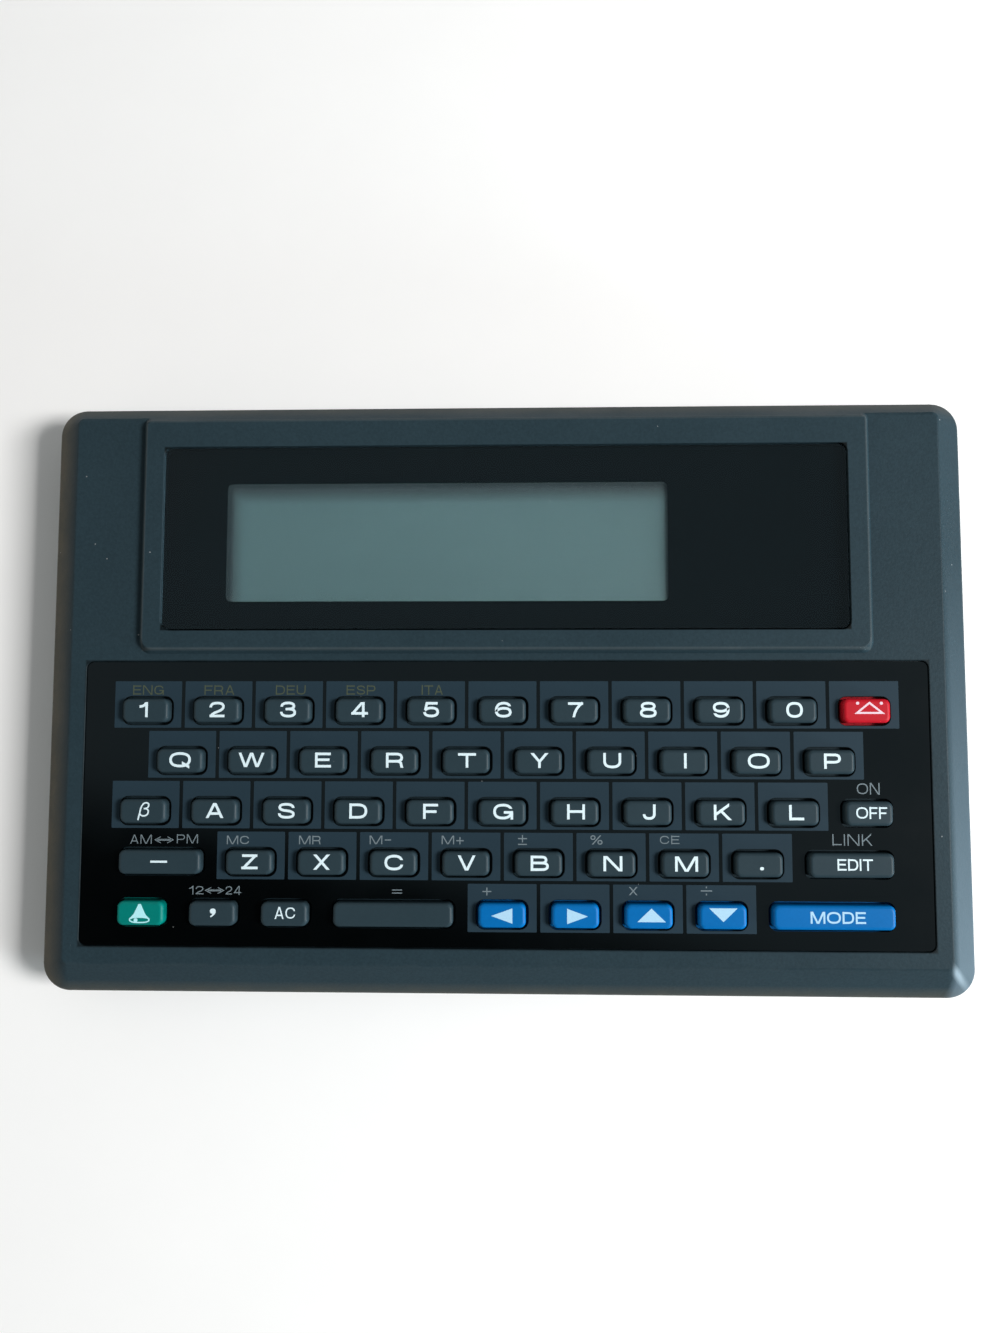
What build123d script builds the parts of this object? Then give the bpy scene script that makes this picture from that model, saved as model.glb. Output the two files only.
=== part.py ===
"""Handheld translator: a slim two-part plastic case with a display window above a keyboard of 51 push keys.

Frame: millimetres, origin at the bottom centre, +X to the right, +Y towards the display edge, +Z up.
The body sizes follow from what the case holds: the key grid and display set the plan, and the stack of
cells, board, rubber mat and keys sets the height.
"""

from build123d import *
import os
from math import sqrt

# ---------------------------------------------------------------- key grid
KEY_PITCH_X = 10.0
KEY_PITCH_Y = 7.0
KEY_COLUMNS = 11
KEY_WIDTH = 6.5
KEY_DEPTH = 3.3
KEY_CORNER_R = 0.85
KEY_EDGE_R = 0.5
KEY_PROUD = 1.2  # key top above the fascia
KEY_TRAVEL = 0.8
KEY_SHIFT = 0.9  # each key sits this far towards the front of its cell of the grid
KEY_CLEARANCE = 0.35  # all round a key in its hole
FLANGE_RIM = 0.7
FLANGE_THICKNESS = 0.7
FLANGE_GAP = 0.15  # flange below the deck at rest

# Each row: the column of its first key, counted in pitches from the middle, then the keys from left to right.
KEY_ROWS = [
    (-5.0, ["1", "2", "3", "4", "5", "6", "7", "8", "9", "0", "translate"]),
    (-4.5, ["q", "w", "e", "r", "t", "y", "u", "i", "o", "p"]),
    (-5.0, ["eszett", "a", "s", "d", "f", "g", "h", "j", "k", "l", "power"]),
    (-3.5, ["z", "x", "c", "v", "b", "n", "m", "point"]),
    (0.0, ["left", "right", "up", "down"]),
]
# Keys off the rows above: name, row, first column, last column. A wide key spans its first to last column.
EXTRA_KEY_COLUMNS = [
    ("minus", 3, -5.0, -4.5),
    ("edit", 3, 4.5, 5.0),
    ("alarm", 4, -5.0, -5.0),
    ("comma", 4, -4.0, -4.0),
    ("all_clear", 4, -3.0, -3.0),
    ("space", 4, -2.0, -1.0),
    ("mode", 4, 4.0, 5.0),
]

# ---------------------------------------------------------------- black fascia round the keys
FASCIA_SIDE_MARGIN = 3.8  # outside the key grid
FASCIA_FRONT_MARGIN = 1.95
FASCIA_BACK_MARGIN = 2.45
FASCIA_THICKNESS = 0.5
FASCIA_SINK = 0.1  # below the deck surface
FASCIA_CORNER_R = 0.9
FASCIA_CLEARANCE = 0.15

# ---------------------------------------------------------------- display
VIEW_WIDTH = 62.55
VIEW_DEPTH = 16.9
WINDOW_LEFT = 8.7  # window outside the view
WINDOW_RIGHT = 24.75
WINDOW_FRONT = 4.0
WINDOW_BACK = 5.0
WINDOW_THICKNESS = 1.5
WINDOW_SINK = 0.15  # below the platform surface
WINDOW_CORNER_R = 1.1
WINDOW_CLEARANCE = 0.2
SIGHT_RIM = 1.5  # sight hole outside the view
GLASS_THICKNESS = 0.9
GLASS_SIDE_RIM = 2.8  # both glasses, left and right of the view
FRONT_GLASS_RIM = 4.2  # in front of and behind the view
REAR_GLASS_RIM = 1.6
GLASS_GAP = 0.05  # front glass below the deck
GLASS_CLEARANCE = 0.2  # glass inside its ribs
GLASS_RIB = 1.0
STRIP_WIDTH = 1.9  # elastomer connector strip
STRIP_CLEARANCE = 0.3

# ---------------------------------------------------------------- platform that carries the window
PLATFORM_HEIGHT = 1.1
PLATFORM_SIDE_MARGIN = 2.9  # platform surface outside the window
PLATFORM_FRONT_MARGIN = 2.8
PLATFORM_BACK_MARGIN = 4.0
PLATFORM_SLOPE = 0.6  # width of the sloping flank
PLATFORM_CORNER_R = 1.6
PLATFORM_EDGE_R = 0.3
PLATFORM_ROOT = 0.6  # how far the platform reaches down into the deck

# ---------------------------------------------------------------- case
WALL = 1.5
DECK_UNDER_FASCIA = 0.9
DECK_SIDE_MARGIN = 2.45  # flat deck outside the fascia
DECK_FRONT_MARGIN = 2.5
DECK_MIDDLE = 1.2  # flat deck between fascia and platform
BEVEL_SIDE = 4.75
BEVEL_FRONT = 4.9
BEVEL_BACK = 2.75
BEVEL_ROUND_R = 2.0
CREASE_CORNER_R = 0.8
CREASE_EDGE_R = 0.5
MOUTH_CHAMFER = 0.08  # round the mouths of the pockets for the fascia and the window
BODY_CORNER_R = 4.0
BOTTOM_EDGE_R = 3.0
RIM_HEIGHT = 1.4  # upright rim of the top case
LIP_HEIGHT = 1.0
LIP_THICKNESS = 0.65
LIP_CLEARANCE = 0.1
FOOT_HEIGHT = 0.4
FOOT_DIAMETER = 8.0
FOOT_INSET_X = 14.0
FOOT_INSET_Y = 9.5

# ---------------------------------------------------------------- screws: six, from below, clamping the board
SCREW_INSET_X = 7.2
SCREW_INSET_Y = 6.5
BOSS_DIAMETER = 5.0
SCREW_HEAD_HOLE = 4.4
SCREW_HEAD_DEPTH = 1.8
SCREW_HOLE = 2.3
SCREW_PILOT = 1.7
SCREW_PILOT_DEPTH = 3.0

# ---------------------------------------------------------------- cells, board and mat
CELL_DIAMETER = 20.0
CELL_THICKNESS = 3.2
CELL_GAP = 1.2
CELL_CLEARANCE = 0.25
CELL_EDGE_R = 0.3
CELL_CAP_INSET = 1.2
CELL_CAP_HEIGHT = 0.25
CONTACT_HEIGHT = 1.0  # cell to board
CONTACT_THICKNESS = 0.25
CONTACT_LENGTH = 12.0
CONTACT_WIDTH = 4.0
CLIP_WIDTH = 6.0
BLOCK_WALL = 1.6
BOARD_THICKNESS = 1.0
BOARD_INSET_SIDE = 4.3
BOARD_INSET_FRONT = 4.0
BOARD_INSET_BACK = 3.2
BOARD_ABOVE_SPLIT = 0.6
MAT_THICKNESS = 0.6
MAT_MARGIN = 1.3
DOME_HEIGHT = 1.25
DOME_BASE_R = 2.3
DOME_TOP_R = 1.3
DOME_SKIN = 0.4

# ---------------------------------------------------------------- battery cover, sliding out at the back
COVER_TONGUE = 1.5  # tongue at both sides and at the front, above the floor's ledge
COVER_LEDGE = 0.8  # thickness of the floor's ledge and of the cover's outer plate
COVER_SIDE_CLEARANCE = 0.15
COVER_TOP_CLEARANCE = 0.1
COVER_FRONT_MARGIN = 3.2  # outer plate in front of the cells
GRIP_LINES = 5
GRIP_PITCH = 1.6
GRIP_WIDTH = 0.7
GRIP_LENGTH = 16.0
GRIP_DEPTH = 0.3
GRIP_FROM_BACK = 6.0
ARROW_SIZE = 3.0

# ---------------------------------------------------------------- parts soldered under the board
CHIPS = [(-43.0, 24.0, 14.0, 20.0), (43.0, 24.0, 12.0, 18.0), (0.0, -10.0, 14.0, 14.0)]  # x, y, width, depth
CHIP_THICKNESS = 2.2
CRYSTAL_R = 1.0
CRYSTAL_LENGTH = 6.5
CRYSTAL_PLACE = (14.0, 2.0)
CAPACITOR_R = 2.0
CAPACITOR_HEIGHT = 3.2
CAPACITOR_PLACES = [(-16.0, 2.0), (-22.0, 2.0), (-28.0, 2.0)]
BUZZER_R = 6.0
BUZZER_HEIGHT = 3.4
BUZZER_PLACE = (-36.0, -16.0)
SOUND_SLOTS = 3
SOUND_SLOT_LENGTH = 8.0
SOUND_SLOT_WIDTH = 1.0
SOUND_SLOT_PITCH = 2.5

# ---------------------------------------------------------------- heights, from the bottom up
FLOOR_Z = FOOT_HEIGHT
FLOOR_TOP = FLOOR_Z + WALL
CELL_Z = FLOOR_TOP + COVER_TOP_CLEARANCE
CELL_TOP = CELL_Z + CELL_THICKNESS
BOARD_Z = CELL_TOP + CONTACT_HEIGHT
BOARD_TOP = BOARD_Z + BOARD_THICKNESS
SPLIT_Z = BOARD_Z - BOARD_ABOVE_SPLIT
RIM_TOP = SPLIT_Z + RIM_HEIGHT
MAT_TOP = BOARD_TOP + MAT_THICKNESS
KEY_BASE_Z = MAT_TOP + DOME_HEIGHT
CEILING_Z = KEY_BASE_Z + FLANGE_THICKNESS + FLANGE_GAP
FASCIA_Z = CEILING_Z + DECK_UNDER_FASCIA
FASCIA_TOP = FASCIA_Z + FASCIA_THICKNESS
DECK_Z = FASCIA_TOP + FASCIA_SINK
KEY_TOP_Z = FASCIA_TOP + KEY_PROUD
PLATFORM_Z = DECK_Z + PLATFORM_HEIGHT
WINDOW_Z = PLATFORM_Z - WINDOW_SINK - WINDOW_THICKNESS
BEVEL_HEIGHT = DECK_Z - RIM_TOP
FRONT_GLASS_Z = CEILING_Z - GLASS_GAP - GLASS_THICKNESS
REAR_GLASS_Z = FRONT_GLASS_Z - GLASS_THICKNESS

# ---------------------------------------------------------------- plan, from the front edge back
FASCIA_WIDTH = KEY_COLUMNS * KEY_PITCH_X + 2 * FASCIA_SIDE_MARGIN
GRID_DEPTH = len(KEY_ROWS) * KEY_PITCH_Y
FASCIA_DEPTH = FASCIA_FRONT_MARGIN + GRID_DEPTH + FASCIA_BACK_MARGIN
WINDOW_WIDTH = WINDOW_LEFT + VIEW_WIDTH + WINDOW_RIGHT
WINDOW_DEPTH = WINDOW_FRONT + VIEW_DEPTH + WINDOW_BACK
PLATFORM_WIDTH = WINDOW_WIDTH + 2 * PLATFORM_SIDE_MARGIN
PLATFORM_SET_BACK = BEVEL_BACK * PLATFORM_HEIGHT / BEVEL_HEIGHT  # the back bevel runs on up the platform
PLATFORM_DEPTH = PLATFORM_FRONT_MARGIN + WINDOW_DEPTH + PLATFORM_BACK_MARGIN
BODY_WIDTH = FASCIA_WIDTH + 2 * (DECK_SIDE_MARGIN + BEVEL_SIDE)
BODY_DEPTH = (
    BEVEL_FRONT + DECK_FRONT_MARGIN + FASCIA_DEPTH + DECK_MIDDLE
    + PLATFORM_SLOPE + PLATFORM_DEPTH + PLATFORM_SET_BACK + BEVEL_BACK
)
FRONT_Y = -BODY_DEPTH / 2
BACK_Y = BODY_DEPTH / 2
FASCIA_FRONT_Y = FRONT_Y + BEVEL_FRONT + DECK_FRONT_MARGIN
FASCIA_Y = FASCIA_FRONT_Y + FASCIA_DEPTH / 2
GRID_BACK_Y = FASCIA_FRONT_Y + FASCIA_FRONT_MARGIN + GRID_DEPTH
PLATFORM_FRONT_Y = FASCIA_FRONT_Y + FASCIA_DEPTH + DECK_MIDDLE + PLATFORM_SLOPE
WINDOW_FRONT_Y = PLATFORM_FRONT_Y + PLATFORM_FRONT_MARGIN
WINDOW_Y = WINDOW_FRONT_Y + WINDOW_DEPTH / 2
VIEW_X = -WINDOW_WIDTH / 2 + WINDOW_LEFT + VIEW_WIDTH / 2
VIEW_Y = WINDOW_FRONT_Y + WINDOW_FRONT + VIEW_DEPTH / 2
CELL_X = (CELL_DIAMETER + CELL_GAP) / 2
POCKET_R = CELL_DIAMETER / 2 + CELL_CLEARANCE
BLOCK_WIDTH = 2 * (CELL_X + POCKET_R + BLOCK_WALL + COVER_TONGUE + COVER_SIDE_CLEARANCE)
COVER_WIDTH = BLOCK_WIDTH - 2 * (BLOCK_WALL + COVER_TONGUE + COVER_SIDE_CLEARANCE)
CELL_Y = BACK_Y - WALL - BLOCK_WALL - POCKET_R
COVER_FRONT_Y = CELL_Y - POCKET_R - COVER_FRONT_MARGIN
SCREW_X = BODY_WIDTH / 2 - SCREW_INSET_X
SCREW_PLACES = [
    (side * SCREW_X, y)
    for side in (-1, 1)
    for y in (FRONT_Y + SCREW_INSET_Y, PLATFORM_FRONT_Y, BACK_Y - SCREW_INSET_Y)
]


def slab(width, depth, height, corner_r, x=0.0, y=0.0, z=0.0):
    """A plate with rounded corners, centred on x, y and standing on z."""
    return Pos(x, y, z) * extrude(RectangleRounded(width, depth, corner_r), height)


def box(width, depth, height, x=0.0, y=0.0, z=0.0):
    """A square-cornered block, centred on x, y and standing on z."""
    return Pos(x, y, z) * extrude(Rectangle(width, depth), height)


def pocket(width, depth, height, corner_r, x, y, z):
    """A cutter like slab, with a chamfered mouth at its top."""
    outline = RectangleRounded(width, depth, corner_r)
    flare = RectangleRounded(width + 2 * MOUTH_CHAMFER, depth + 2 * MOUTH_CHAMFER, corner_r + MOUTH_CHAMFER)
    mouth = loft([Pos(0, 0, height - MOUTH_CHAMFER) * outline, Pos(0, 0, height) * flare], ruled=True)
    return Pos(x, y, z) * (extrude(outline, height) + mouth)


def post(radius, height, x=0.0, y=0.0, z=0.0):
    """A round post, standing on z."""
    return Pos(x, y, z) * extrude(Circle(radius), height)


def key_layout():
    """Every key as name, row, first column, last column."""
    keys = [
        (name, row, first + n, first + n)
        for row, (first, names) in enumerate(KEY_ROWS)
        for n, name in enumerate(names)
    ]
    return keys + EXTRA_KEY_COLUMNS


def key_place(row, first, last):
    """Centre and width of a key."""
    x = (first + last) / 2 * KEY_PITCH_X
    y = GRID_BACK_Y - (row + 0.5) * KEY_PITCH_Y - KEY_SHIFT
    return x, y, KEY_WIDTH + (last - first) * KEY_PITCH_X


def key_holes(clearance):
    """The outline of every key hole, as one sketch."""
    holes = Sketch()
    for _, row, first, last in key_layout():
        x, y, width = key_place(row, first, last)
        holes += Pos(x, y) * RectangleRounded(
            width + 2 * clearance, KEY_DEPTH + 2 * clearance, KEY_CORNER_R + clearance
        )
    return holes


def body_outline(inset):
    """The case's outline in plan, drawn in by an inset."""
    return RectangleRounded(BODY_WIDTH - 2 * inset, BODY_DEPTH - 2 * inset, BODY_CORNER_R - inset)


def bevelled_form(inset, rim_top, top, side, front, back):
    """An upright rim from the split to rim_top, then bevels that draw in to a flat top."""
    rim = Pos(0, 0, SPLIT_Z) * extrude(body_outline(inset), rim_top - SPLIT_Z)
    flat = Pos(0, (front - back) / 2, top) * RectangleRounded(
        BODY_WIDTH - 2 * side, BODY_DEPTH - front - back, CREASE_CORNER_R
    )
    return rim + loft([Pos(0, 0, rim_top) * body_outline(inset), flat], ruled=True)


def platform_outline(grow, back_y):
    """The platform's outline, spread by grow at the sides and front and ending at back_y."""
    front_y = PLATFORM_FRONT_Y - grow
    sketch = Pos(0, (front_y + back_y) / 2) * Rectangle(PLATFORM_WIDTH + 2 * grow, back_y - front_y)
    corners = sketch.vertices().sort_by(Axis.Y)
    sketch = fillet(corners[:2], PLATFORM_CORNER_R)
    return fillet(sketch.vertices().sort_by(Axis.Y)[-2:], CREASE_CORNER_R)


def make_platform():
    """Raised block under the window: rooted in the deck, sloping flanks, its back on the back bevel."""
    full_height = PLATFORM_HEIGHT + PLATFORM_ROOT
    spread = PLATFORM_SLOPE * full_height / PLATFORM_HEIGHT
    top_back_y = BACK_Y - BEVEL_BACK - PLATFORM_SET_BACK
    root_back_y = top_back_y + BEVEL_BACK * full_height / BEVEL_HEIGHT
    root = Pos(0, 0, PLATFORM_Z - full_height) * platform_outline(spread, root_back_y)
    block = loft([root, Pos(0, 0, PLATFORM_Z) * platform_outline(0, top_back_y)], ruled=True)
    return fillet(block.edges().filter_by_position(Axis.Z, PLATFORM_Z, PLATFORM_Z), PLATFORM_EDGE_R)


def case_wall_inset(bevel):
    """How far in from the body's edge the ceiling ends, with one wall thickness square to the bevel."""
    drawn_in = bevel * (CEILING_Z - RIM_TOP) / BEVEL_HEIGHT
    return drawn_in + WALL * sqrt(1 + (bevel / BEVEL_HEIGHT) ** 2)


def make_top_case():
    """Upper shell: bevelled edges, key deck, platform with the window's pocket, bosses and display ribs."""
    shell = bevelled_form(0, RIM_TOP, DECK_Z, BEVEL_SIDE, BEVEL_FRONT, BEVEL_BACK)
    shell = fillet(shell.edges().filter_by_position(Axis.Z, RIM_TOP, RIM_TOP), BEVEL_ROUND_R)
    shell = fillet(shell.edges().filter_by_position(Axis.Z, DECK_Z, DECK_Z), CREASE_EDGE_R)
    shell += make_platform()
    slope = BEVEL_SIDE / BEVEL_HEIGHT
    inner_rim_top = RIM_TOP - WALL * (sqrt(1 + slope**2) - 1) / slope
    insets = [case_wall_inset(bevel) for bevel in (BEVEL_SIDE, BEVEL_FRONT, BEVEL_BACK)]
    shell -= bevelled_form(WALL, inner_rim_top, CEILING_Z, *insets)
    lip_inset = WALL - LIP_THICKNESS - LIP_CLEARANCE
    shell -= Pos(0, 0, SPLIT_Z) * extrude(body_outline(lip_inset), LIP_HEIGHT + LIP_CLEARANCE)
    shell += [post(BOSS_DIAMETER / 2, CEILING_Z - BOARD_TOP, x, y, BOARD_TOP) for x, y in SCREW_PLACES]
    glass_width, glass_depth = front_glass_size()
    rib_inner = (glass_width + 2 * GLASS_CLEARANCE, glass_depth + 2 * GLASS_CLEARANCE)
    rib_height = CEILING_Z - FRONT_GLASS_Z
    ribs = box(
        rib_inner[0] + 2 * GLASS_RIB, rib_inner[1] + 2 * GLASS_RIB, rib_height, VIEW_X, VIEW_Y, FRONT_GLASS_Z
    )
    shell += ribs - box(*rib_inner, rib_height, VIEW_X, VIEW_Y, FRONT_GLASS_Z)
    shell -= pocket(
        FASCIA_WIDTH + 2 * FASCIA_CLEARANCE, FASCIA_DEPTH + 2 * FASCIA_CLEARANCE,
        DECK_Z - FASCIA_Z, FASCIA_CORNER_R + FASCIA_CLEARANCE, 0, FASCIA_Y, FASCIA_Z,
    )
    shell -= Pos(0, 0, CEILING_Z) * extrude(key_holes(KEY_CLEARANCE), DECK_Z - CEILING_Z)
    shell -= pocket(
        WINDOW_WIDTH + 2 * WINDOW_CLEARANCE, WINDOW_DEPTH + 2 * WINDOW_CLEARANCE,
        PLATFORM_Z - WINDOW_Z, WINDOW_CORNER_R + WINDOW_CLEARANCE, 0, WINDOW_Y, WINDOW_Z,
    )
    shell -= slab(
        VIEW_WIDTH + 2 * SIGHT_RIM, VIEW_DEPTH + 2 * SIGHT_RIM, PLATFORM_Z - CEILING_Z,
        WINDOW_CORNER_R, VIEW_X, VIEW_Y, CEILING_Z,
    )
    shell -= [post(SCREW_PILOT / 2, SCREW_PILOT_DEPTH, x, y, BOARD_TOP) for x, y in SCREW_PLACES]
    return shell


def bottom_form(inset, edge_r, floor_z):
    """The lower case's form from floor_z to the split, with a rounded bottom edge."""
    form = Pos(0, 0, floor_z) * extrude(body_outline(inset), SPLIT_Z - floor_z)
    return fillet(form.faces().sort_by(Axis.Z)[0].edges(), edge_r)


def cover_slot(side_clearance, end_clearance, top_clearance):
    """The stepped plan of the battery cover, run out past the back: an outer plate with tongues above it."""
    far_y = BACK_Y + BOTTOM_EDGE_R
    front_y = COVER_FRONT_Y - end_clearance
    plate_depth = far_y - front_y
    plate = box(
        COVER_WIDTH + 2 * side_clearance, plate_depth, COVER_LEDGE, 0, far_y - plate_depth / 2, FLOOR_Z
    )
    tongue_depth = plate_depth + COVER_TONGUE
    tongues = box(
        COVER_WIDTH + 2 * (COVER_TONGUE + side_clearance), tongue_depth, WALL - COVER_LEDGE + top_clearance,
        0, far_y - tongue_depth / 2, FLOOR_Z + COVER_LEDGE,
    )
    return plate + tongues


def make_bottom_case():
    """Lower shell: floor, lip, screw posts, cell block, feet, and the slot for the battery cover."""
    shell = bottom_form(0, BOTTOM_EDGE_R, FLOOR_Z)
    shell -= bottom_form(WALL, BOTTOM_EDGE_R - WALL, FLOOR_TOP)
    lip = extrude(body_outline(WALL - LIP_THICKNESS) - body_outline(WALL), LIP_HEIGHT)
    shell += Pos(0, 0, SPLIT_Z) * lip
    shell += [post(BOSS_DIAMETER / 2, BOARD_Z - FLOOR_Z, x, y, FLOOR_Z) for x, y in SCREW_PLACES]
    block_front = COVER_FRONT_Y - COVER_TONGUE - COVER_SIDE_CLEARANCE - BLOCK_WALL
    block_back = BACK_Y - WALL
    shell += box(
        BLOCK_WIDTH, block_back - block_front, CELL_TOP - FLOOR_Z, 0, (block_front + block_back) / 2, FLOOR_Z
    )
    shell -= cover_slot(COVER_SIDE_CLEARANCE, COVER_SIDE_CLEARANCE, COVER_TOP_CLEARANCE)
    shell -= [post(POCKET_R, CELL_TOP - CELL_Z, side * CELL_X, CELL_Y, CELL_Z) for side in (-1, 1)]
    shell -= box(2 * CELL_X, CLIP_WIDTH + 2 * CELL_CLEARANCE, CELL_TOP - CELL_Z, 0, CELL_Y, CELL_Z)
    feet_x = BODY_WIDTH / 2 - FOOT_INSET_X
    feet_y = BODY_DEPTH / 2 - FOOT_INSET_Y
    foot_places = [(sx * feet_x, sy * feet_y) for sx in (-1, 1) for sy in (-1, 1)]
    shell += [post(FOOT_DIAMETER / 2, FOOT_HEIGHT, x, y) for x, y in foot_places]
    for x, y in SCREW_PLACES:
        shell -= post(SCREW_HEAD_HOLE / 2, SCREW_HEAD_DEPTH, x, y, FLOOR_Z)
        shell -= post(SCREW_HOLE / 2, BOARD_Z - FLOOR_Z, x, y, FLOOR_Z)
    buzzer_x, buzzer_y = BUZZER_PLACE
    for n in range(SOUND_SLOTS):
        y = buzzer_y + (n - (SOUND_SLOTS - 1) / 2) * SOUND_SLOT_PITCH
        slot = SlotOverall(SOUND_SLOT_LENGTH, SOUND_SLOT_WIDTH)
        shell -= Pos(buzzer_x, y, FLOOR_Z) * extrude(slot, WALL)
    return shell


def make_battery_cover():
    """Flat cover that carries the case's rounded back edge on round, with grip lines and an arrow."""
    cover = cover_slot(0, 0, 0) & bottom_form(0, BOTTOM_EDGE_R, FLOOR_Z)
    grip_y = BACK_Y - GRIP_FROM_BACK
    for n in range(GRIP_LINES):
        cover -= box(GRIP_LENGTH, GRIP_WIDTH, GRIP_DEPTH, 0, grip_y - n * GRIP_PITCH, FLOOR_Z)
    arrow = Pos(0, grip_y - GRIP_LINES * GRIP_PITCH - ARROW_SIZE, FLOOR_Z) * extrude(
        RegularPolygon(ARROW_SIZE / 2, 3, rotation=90), GRIP_DEPTH
    )
    return cover - arrow


def make_cells():
    """Two coin cells side by side, each a can with its smaller cap on top."""
    can_height = CELL_THICKNESS - CELL_CAP_HEIGHT
    cells = []
    for side in (-1, 1):
        can = post(CELL_DIAMETER / 2, can_height, side * CELL_X, CELL_Y, CELL_Z)
        can = fillet(can.edges(), CELL_EDGE_R)
        cap_r = CELL_DIAMETER / 2 - CELL_CAP_INSET
        cells.append(can + post(cap_r, CELL_CAP_HEIGHT, side * CELL_X, CELL_Y, CELL_Z + can_height))
    return Compound(cells)


def front_glass_size():
    """Plan size of the display's front glass."""
    return VIEW_WIDTH + 2 * GLASS_SIDE_RIM, VIEW_DEPTH + 2 * FRONT_GLASS_RIM


def make_lcd_panel():
    """Display: two glasses face to face, and the elastomer strips that join the front one to the board."""
    width, depth = front_glass_size()
    rear_depth = VIEW_DEPTH + 2 * REAR_GLASS_RIM
    parts = [
        box(width, depth, GLASS_THICKNESS, VIEW_X, VIEW_Y, FRONT_GLASS_Z),
        box(width, rear_depth, GLASS_THICKNESS, VIEW_X, VIEW_Y, REAR_GLASS_Z),
    ]
    strip_y = rear_depth / 2 + STRIP_CLEARANCE + STRIP_WIDTH / 2
    strip_height = FRONT_GLASS_Z - BOARD_TOP
    for side in (-1, 1):
        parts.append(box(VIEW_WIDTH, STRIP_WIDTH, strip_height, VIEW_X, VIEW_Y + side * strip_y, BOARD_TOP))
    return Compound(parts)


def make_key_fascia():
    """Thin black plate let into the deck round the keys."""
    plate = RectangleRounded(FASCIA_WIDTH, FASCIA_DEPTH, FASCIA_CORNER_R)
    plate = Pos(0, FASCIA_Y) * plate - key_holes(KEY_CLEARANCE)
    return Pos(0, 0, FASCIA_Z) * extrude(plate, FASCIA_THICKNESS)


def dome_places():
    """One dome under each key, and two under a key as wide as two."""
    places = []
    for _, row, first, last in key_layout():
        x, y, _ = key_place(row, first, last)
        spread = [-0.5, 0.5] if last - first >= 1 else [0.0]
        places += [(x + s * KEY_PITCH_X, y) for s in spread]
    return places


def make_key_mat():
    """Silicone mat on the board: a sheet with a hollow dome under every key."""
    dome_rows = [y for _, y in dome_places()]
    y_far = max(dome_rows) + DOME_BASE_R + MAT_MARGIN
    y_near = min(dome_rows) - DOME_BASE_R - MAT_MARGIN
    width = KEY_COLUMNS * KEY_PITCH_X + 2 * MAT_MARGIN
    mat = slab(width, y_far - y_near, MAT_THICKNESS, MAT_MARGIN, 0, (y_far + y_near) / 2, BOARD_TOP)
    dome = Pos(0, 0, MAT_THICKNESS + DOME_HEIGHT / 2) * Cone(DOME_BASE_R, DOME_TOP_R, DOME_HEIGHT)
    mat += [Pos(x, y, BOARD_TOP) * dome for x, y in dome_places()]
    hollow_r = DOME_BASE_R - DOME_SKIN
    hollow = Pos(0, 0, KEY_TRAVEL / 2) * Cone(hollow_r, DOME_TOP_R, KEY_TRAVEL)
    mat -= [Pos(x, y, BOARD_TOP) * hollow for x, y in dome_places()]
    return mat


def make_circuit_board():
    """Board with its soldered chips, crystal, capacitors, buzzer and cell contacts underneath."""
    y_near = FRONT_Y + BOARD_INSET_FRONT
    y_far = BACK_Y - BOARD_INSET_BACK
    width = BODY_WIDTH - 2 * BOARD_INSET_SIDE
    board = box(width, y_far - y_near, BOARD_THICKNESS, 0, (y_near + y_far) / 2, BOARD_Z)
    board -= [post(SCREW_HOLE / 2, BOARD_THICKNESS, x, y, BOARD_Z) for x, y in SCREW_PLACES]
    parts = [board]
    for x, y, chip_width, chip_depth in CHIPS:
        parts.append(box(chip_width, chip_depth, CHIP_THICKNESS, x, y, BOARD_Z - CHIP_THICKNESS))
    crystal = Rot(0, 90, 0) * Cylinder(CRYSTAL_R, CRYSTAL_LENGTH)
    parts.append(Pos(*CRYSTAL_PLACE, BOARD_Z - CRYSTAL_R) * crystal)
    capacitor_z = BOARD_Z - CAPACITOR_HEIGHT
    parts += [post(CAPACITOR_R, CAPACITOR_HEIGHT, x, y, capacitor_z) for x, y in CAPACITOR_PLACES]
    parts.append(post(BUZZER_R, BUZZER_HEIGHT, *BUZZER_PLACE, BOARD_Z - BUZZER_HEIGHT))
    leaf = Polyline(
        (-CONTACT_LENGTH / 2, 0), (0, -CONTACT_HEIGHT), (CONTACT_LENGTH / 2, 0),
        (CONTACT_LENGTH / 2 - CONTACT_WIDTH / 2, 0), (0, CONTACT_THICKNESS - CONTACT_HEIGHT),
        (CONTACT_WIDTH / 2 - CONTACT_LENGTH / 2, 0), close=True,
    )
    leaf = extrude(Plane.XZ * make_face(leaf), CONTACT_WIDTH / 2, both=True)
    parts += [Pos(side * CELL_X, CELL_Y, BOARD_Z) * leaf for side in (-1, 1)]
    clip_height = CONTACT_HEIGHT + CELL_THICKNESS / 2
    parts.append(box(CONTACT_THICKNESS, CLIP_WIDTH, clip_height, 0, CELL_Y, BOARD_Z - clip_height))
    return Compound(parts)


def make_window():
    """Clear display window, glued into the platform's pocket."""
    return slab(WINDOW_WIDTH, WINDOW_DEPTH, WINDOW_THICKNESS, WINDOW_CORNER_R, 0, WINDOW_Y, WINDOW_Z)


def make_key(width):
    """One push key: a cap with rounded edges on a flange that the deck holds in."""
    cap = extrude(RectangleRounded(width, KEY_DEPTH, KEY_CORNER_R), KEY_TOP_Z - KEY_BASE_Z)
    cap = fillet(cap.faces().sort_by(Axis.Z)[-1].edges(), KEY_EDGE_R)
    rim = 2 * FLANGE_RIM
    flange = RectangleRounded(width + rim, KEY_DEPTH + rim, KEY_CORNER_R + FLANGE_RIM)
    return cap + extrude(flange, FLANGE_THICKNESS)


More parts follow.
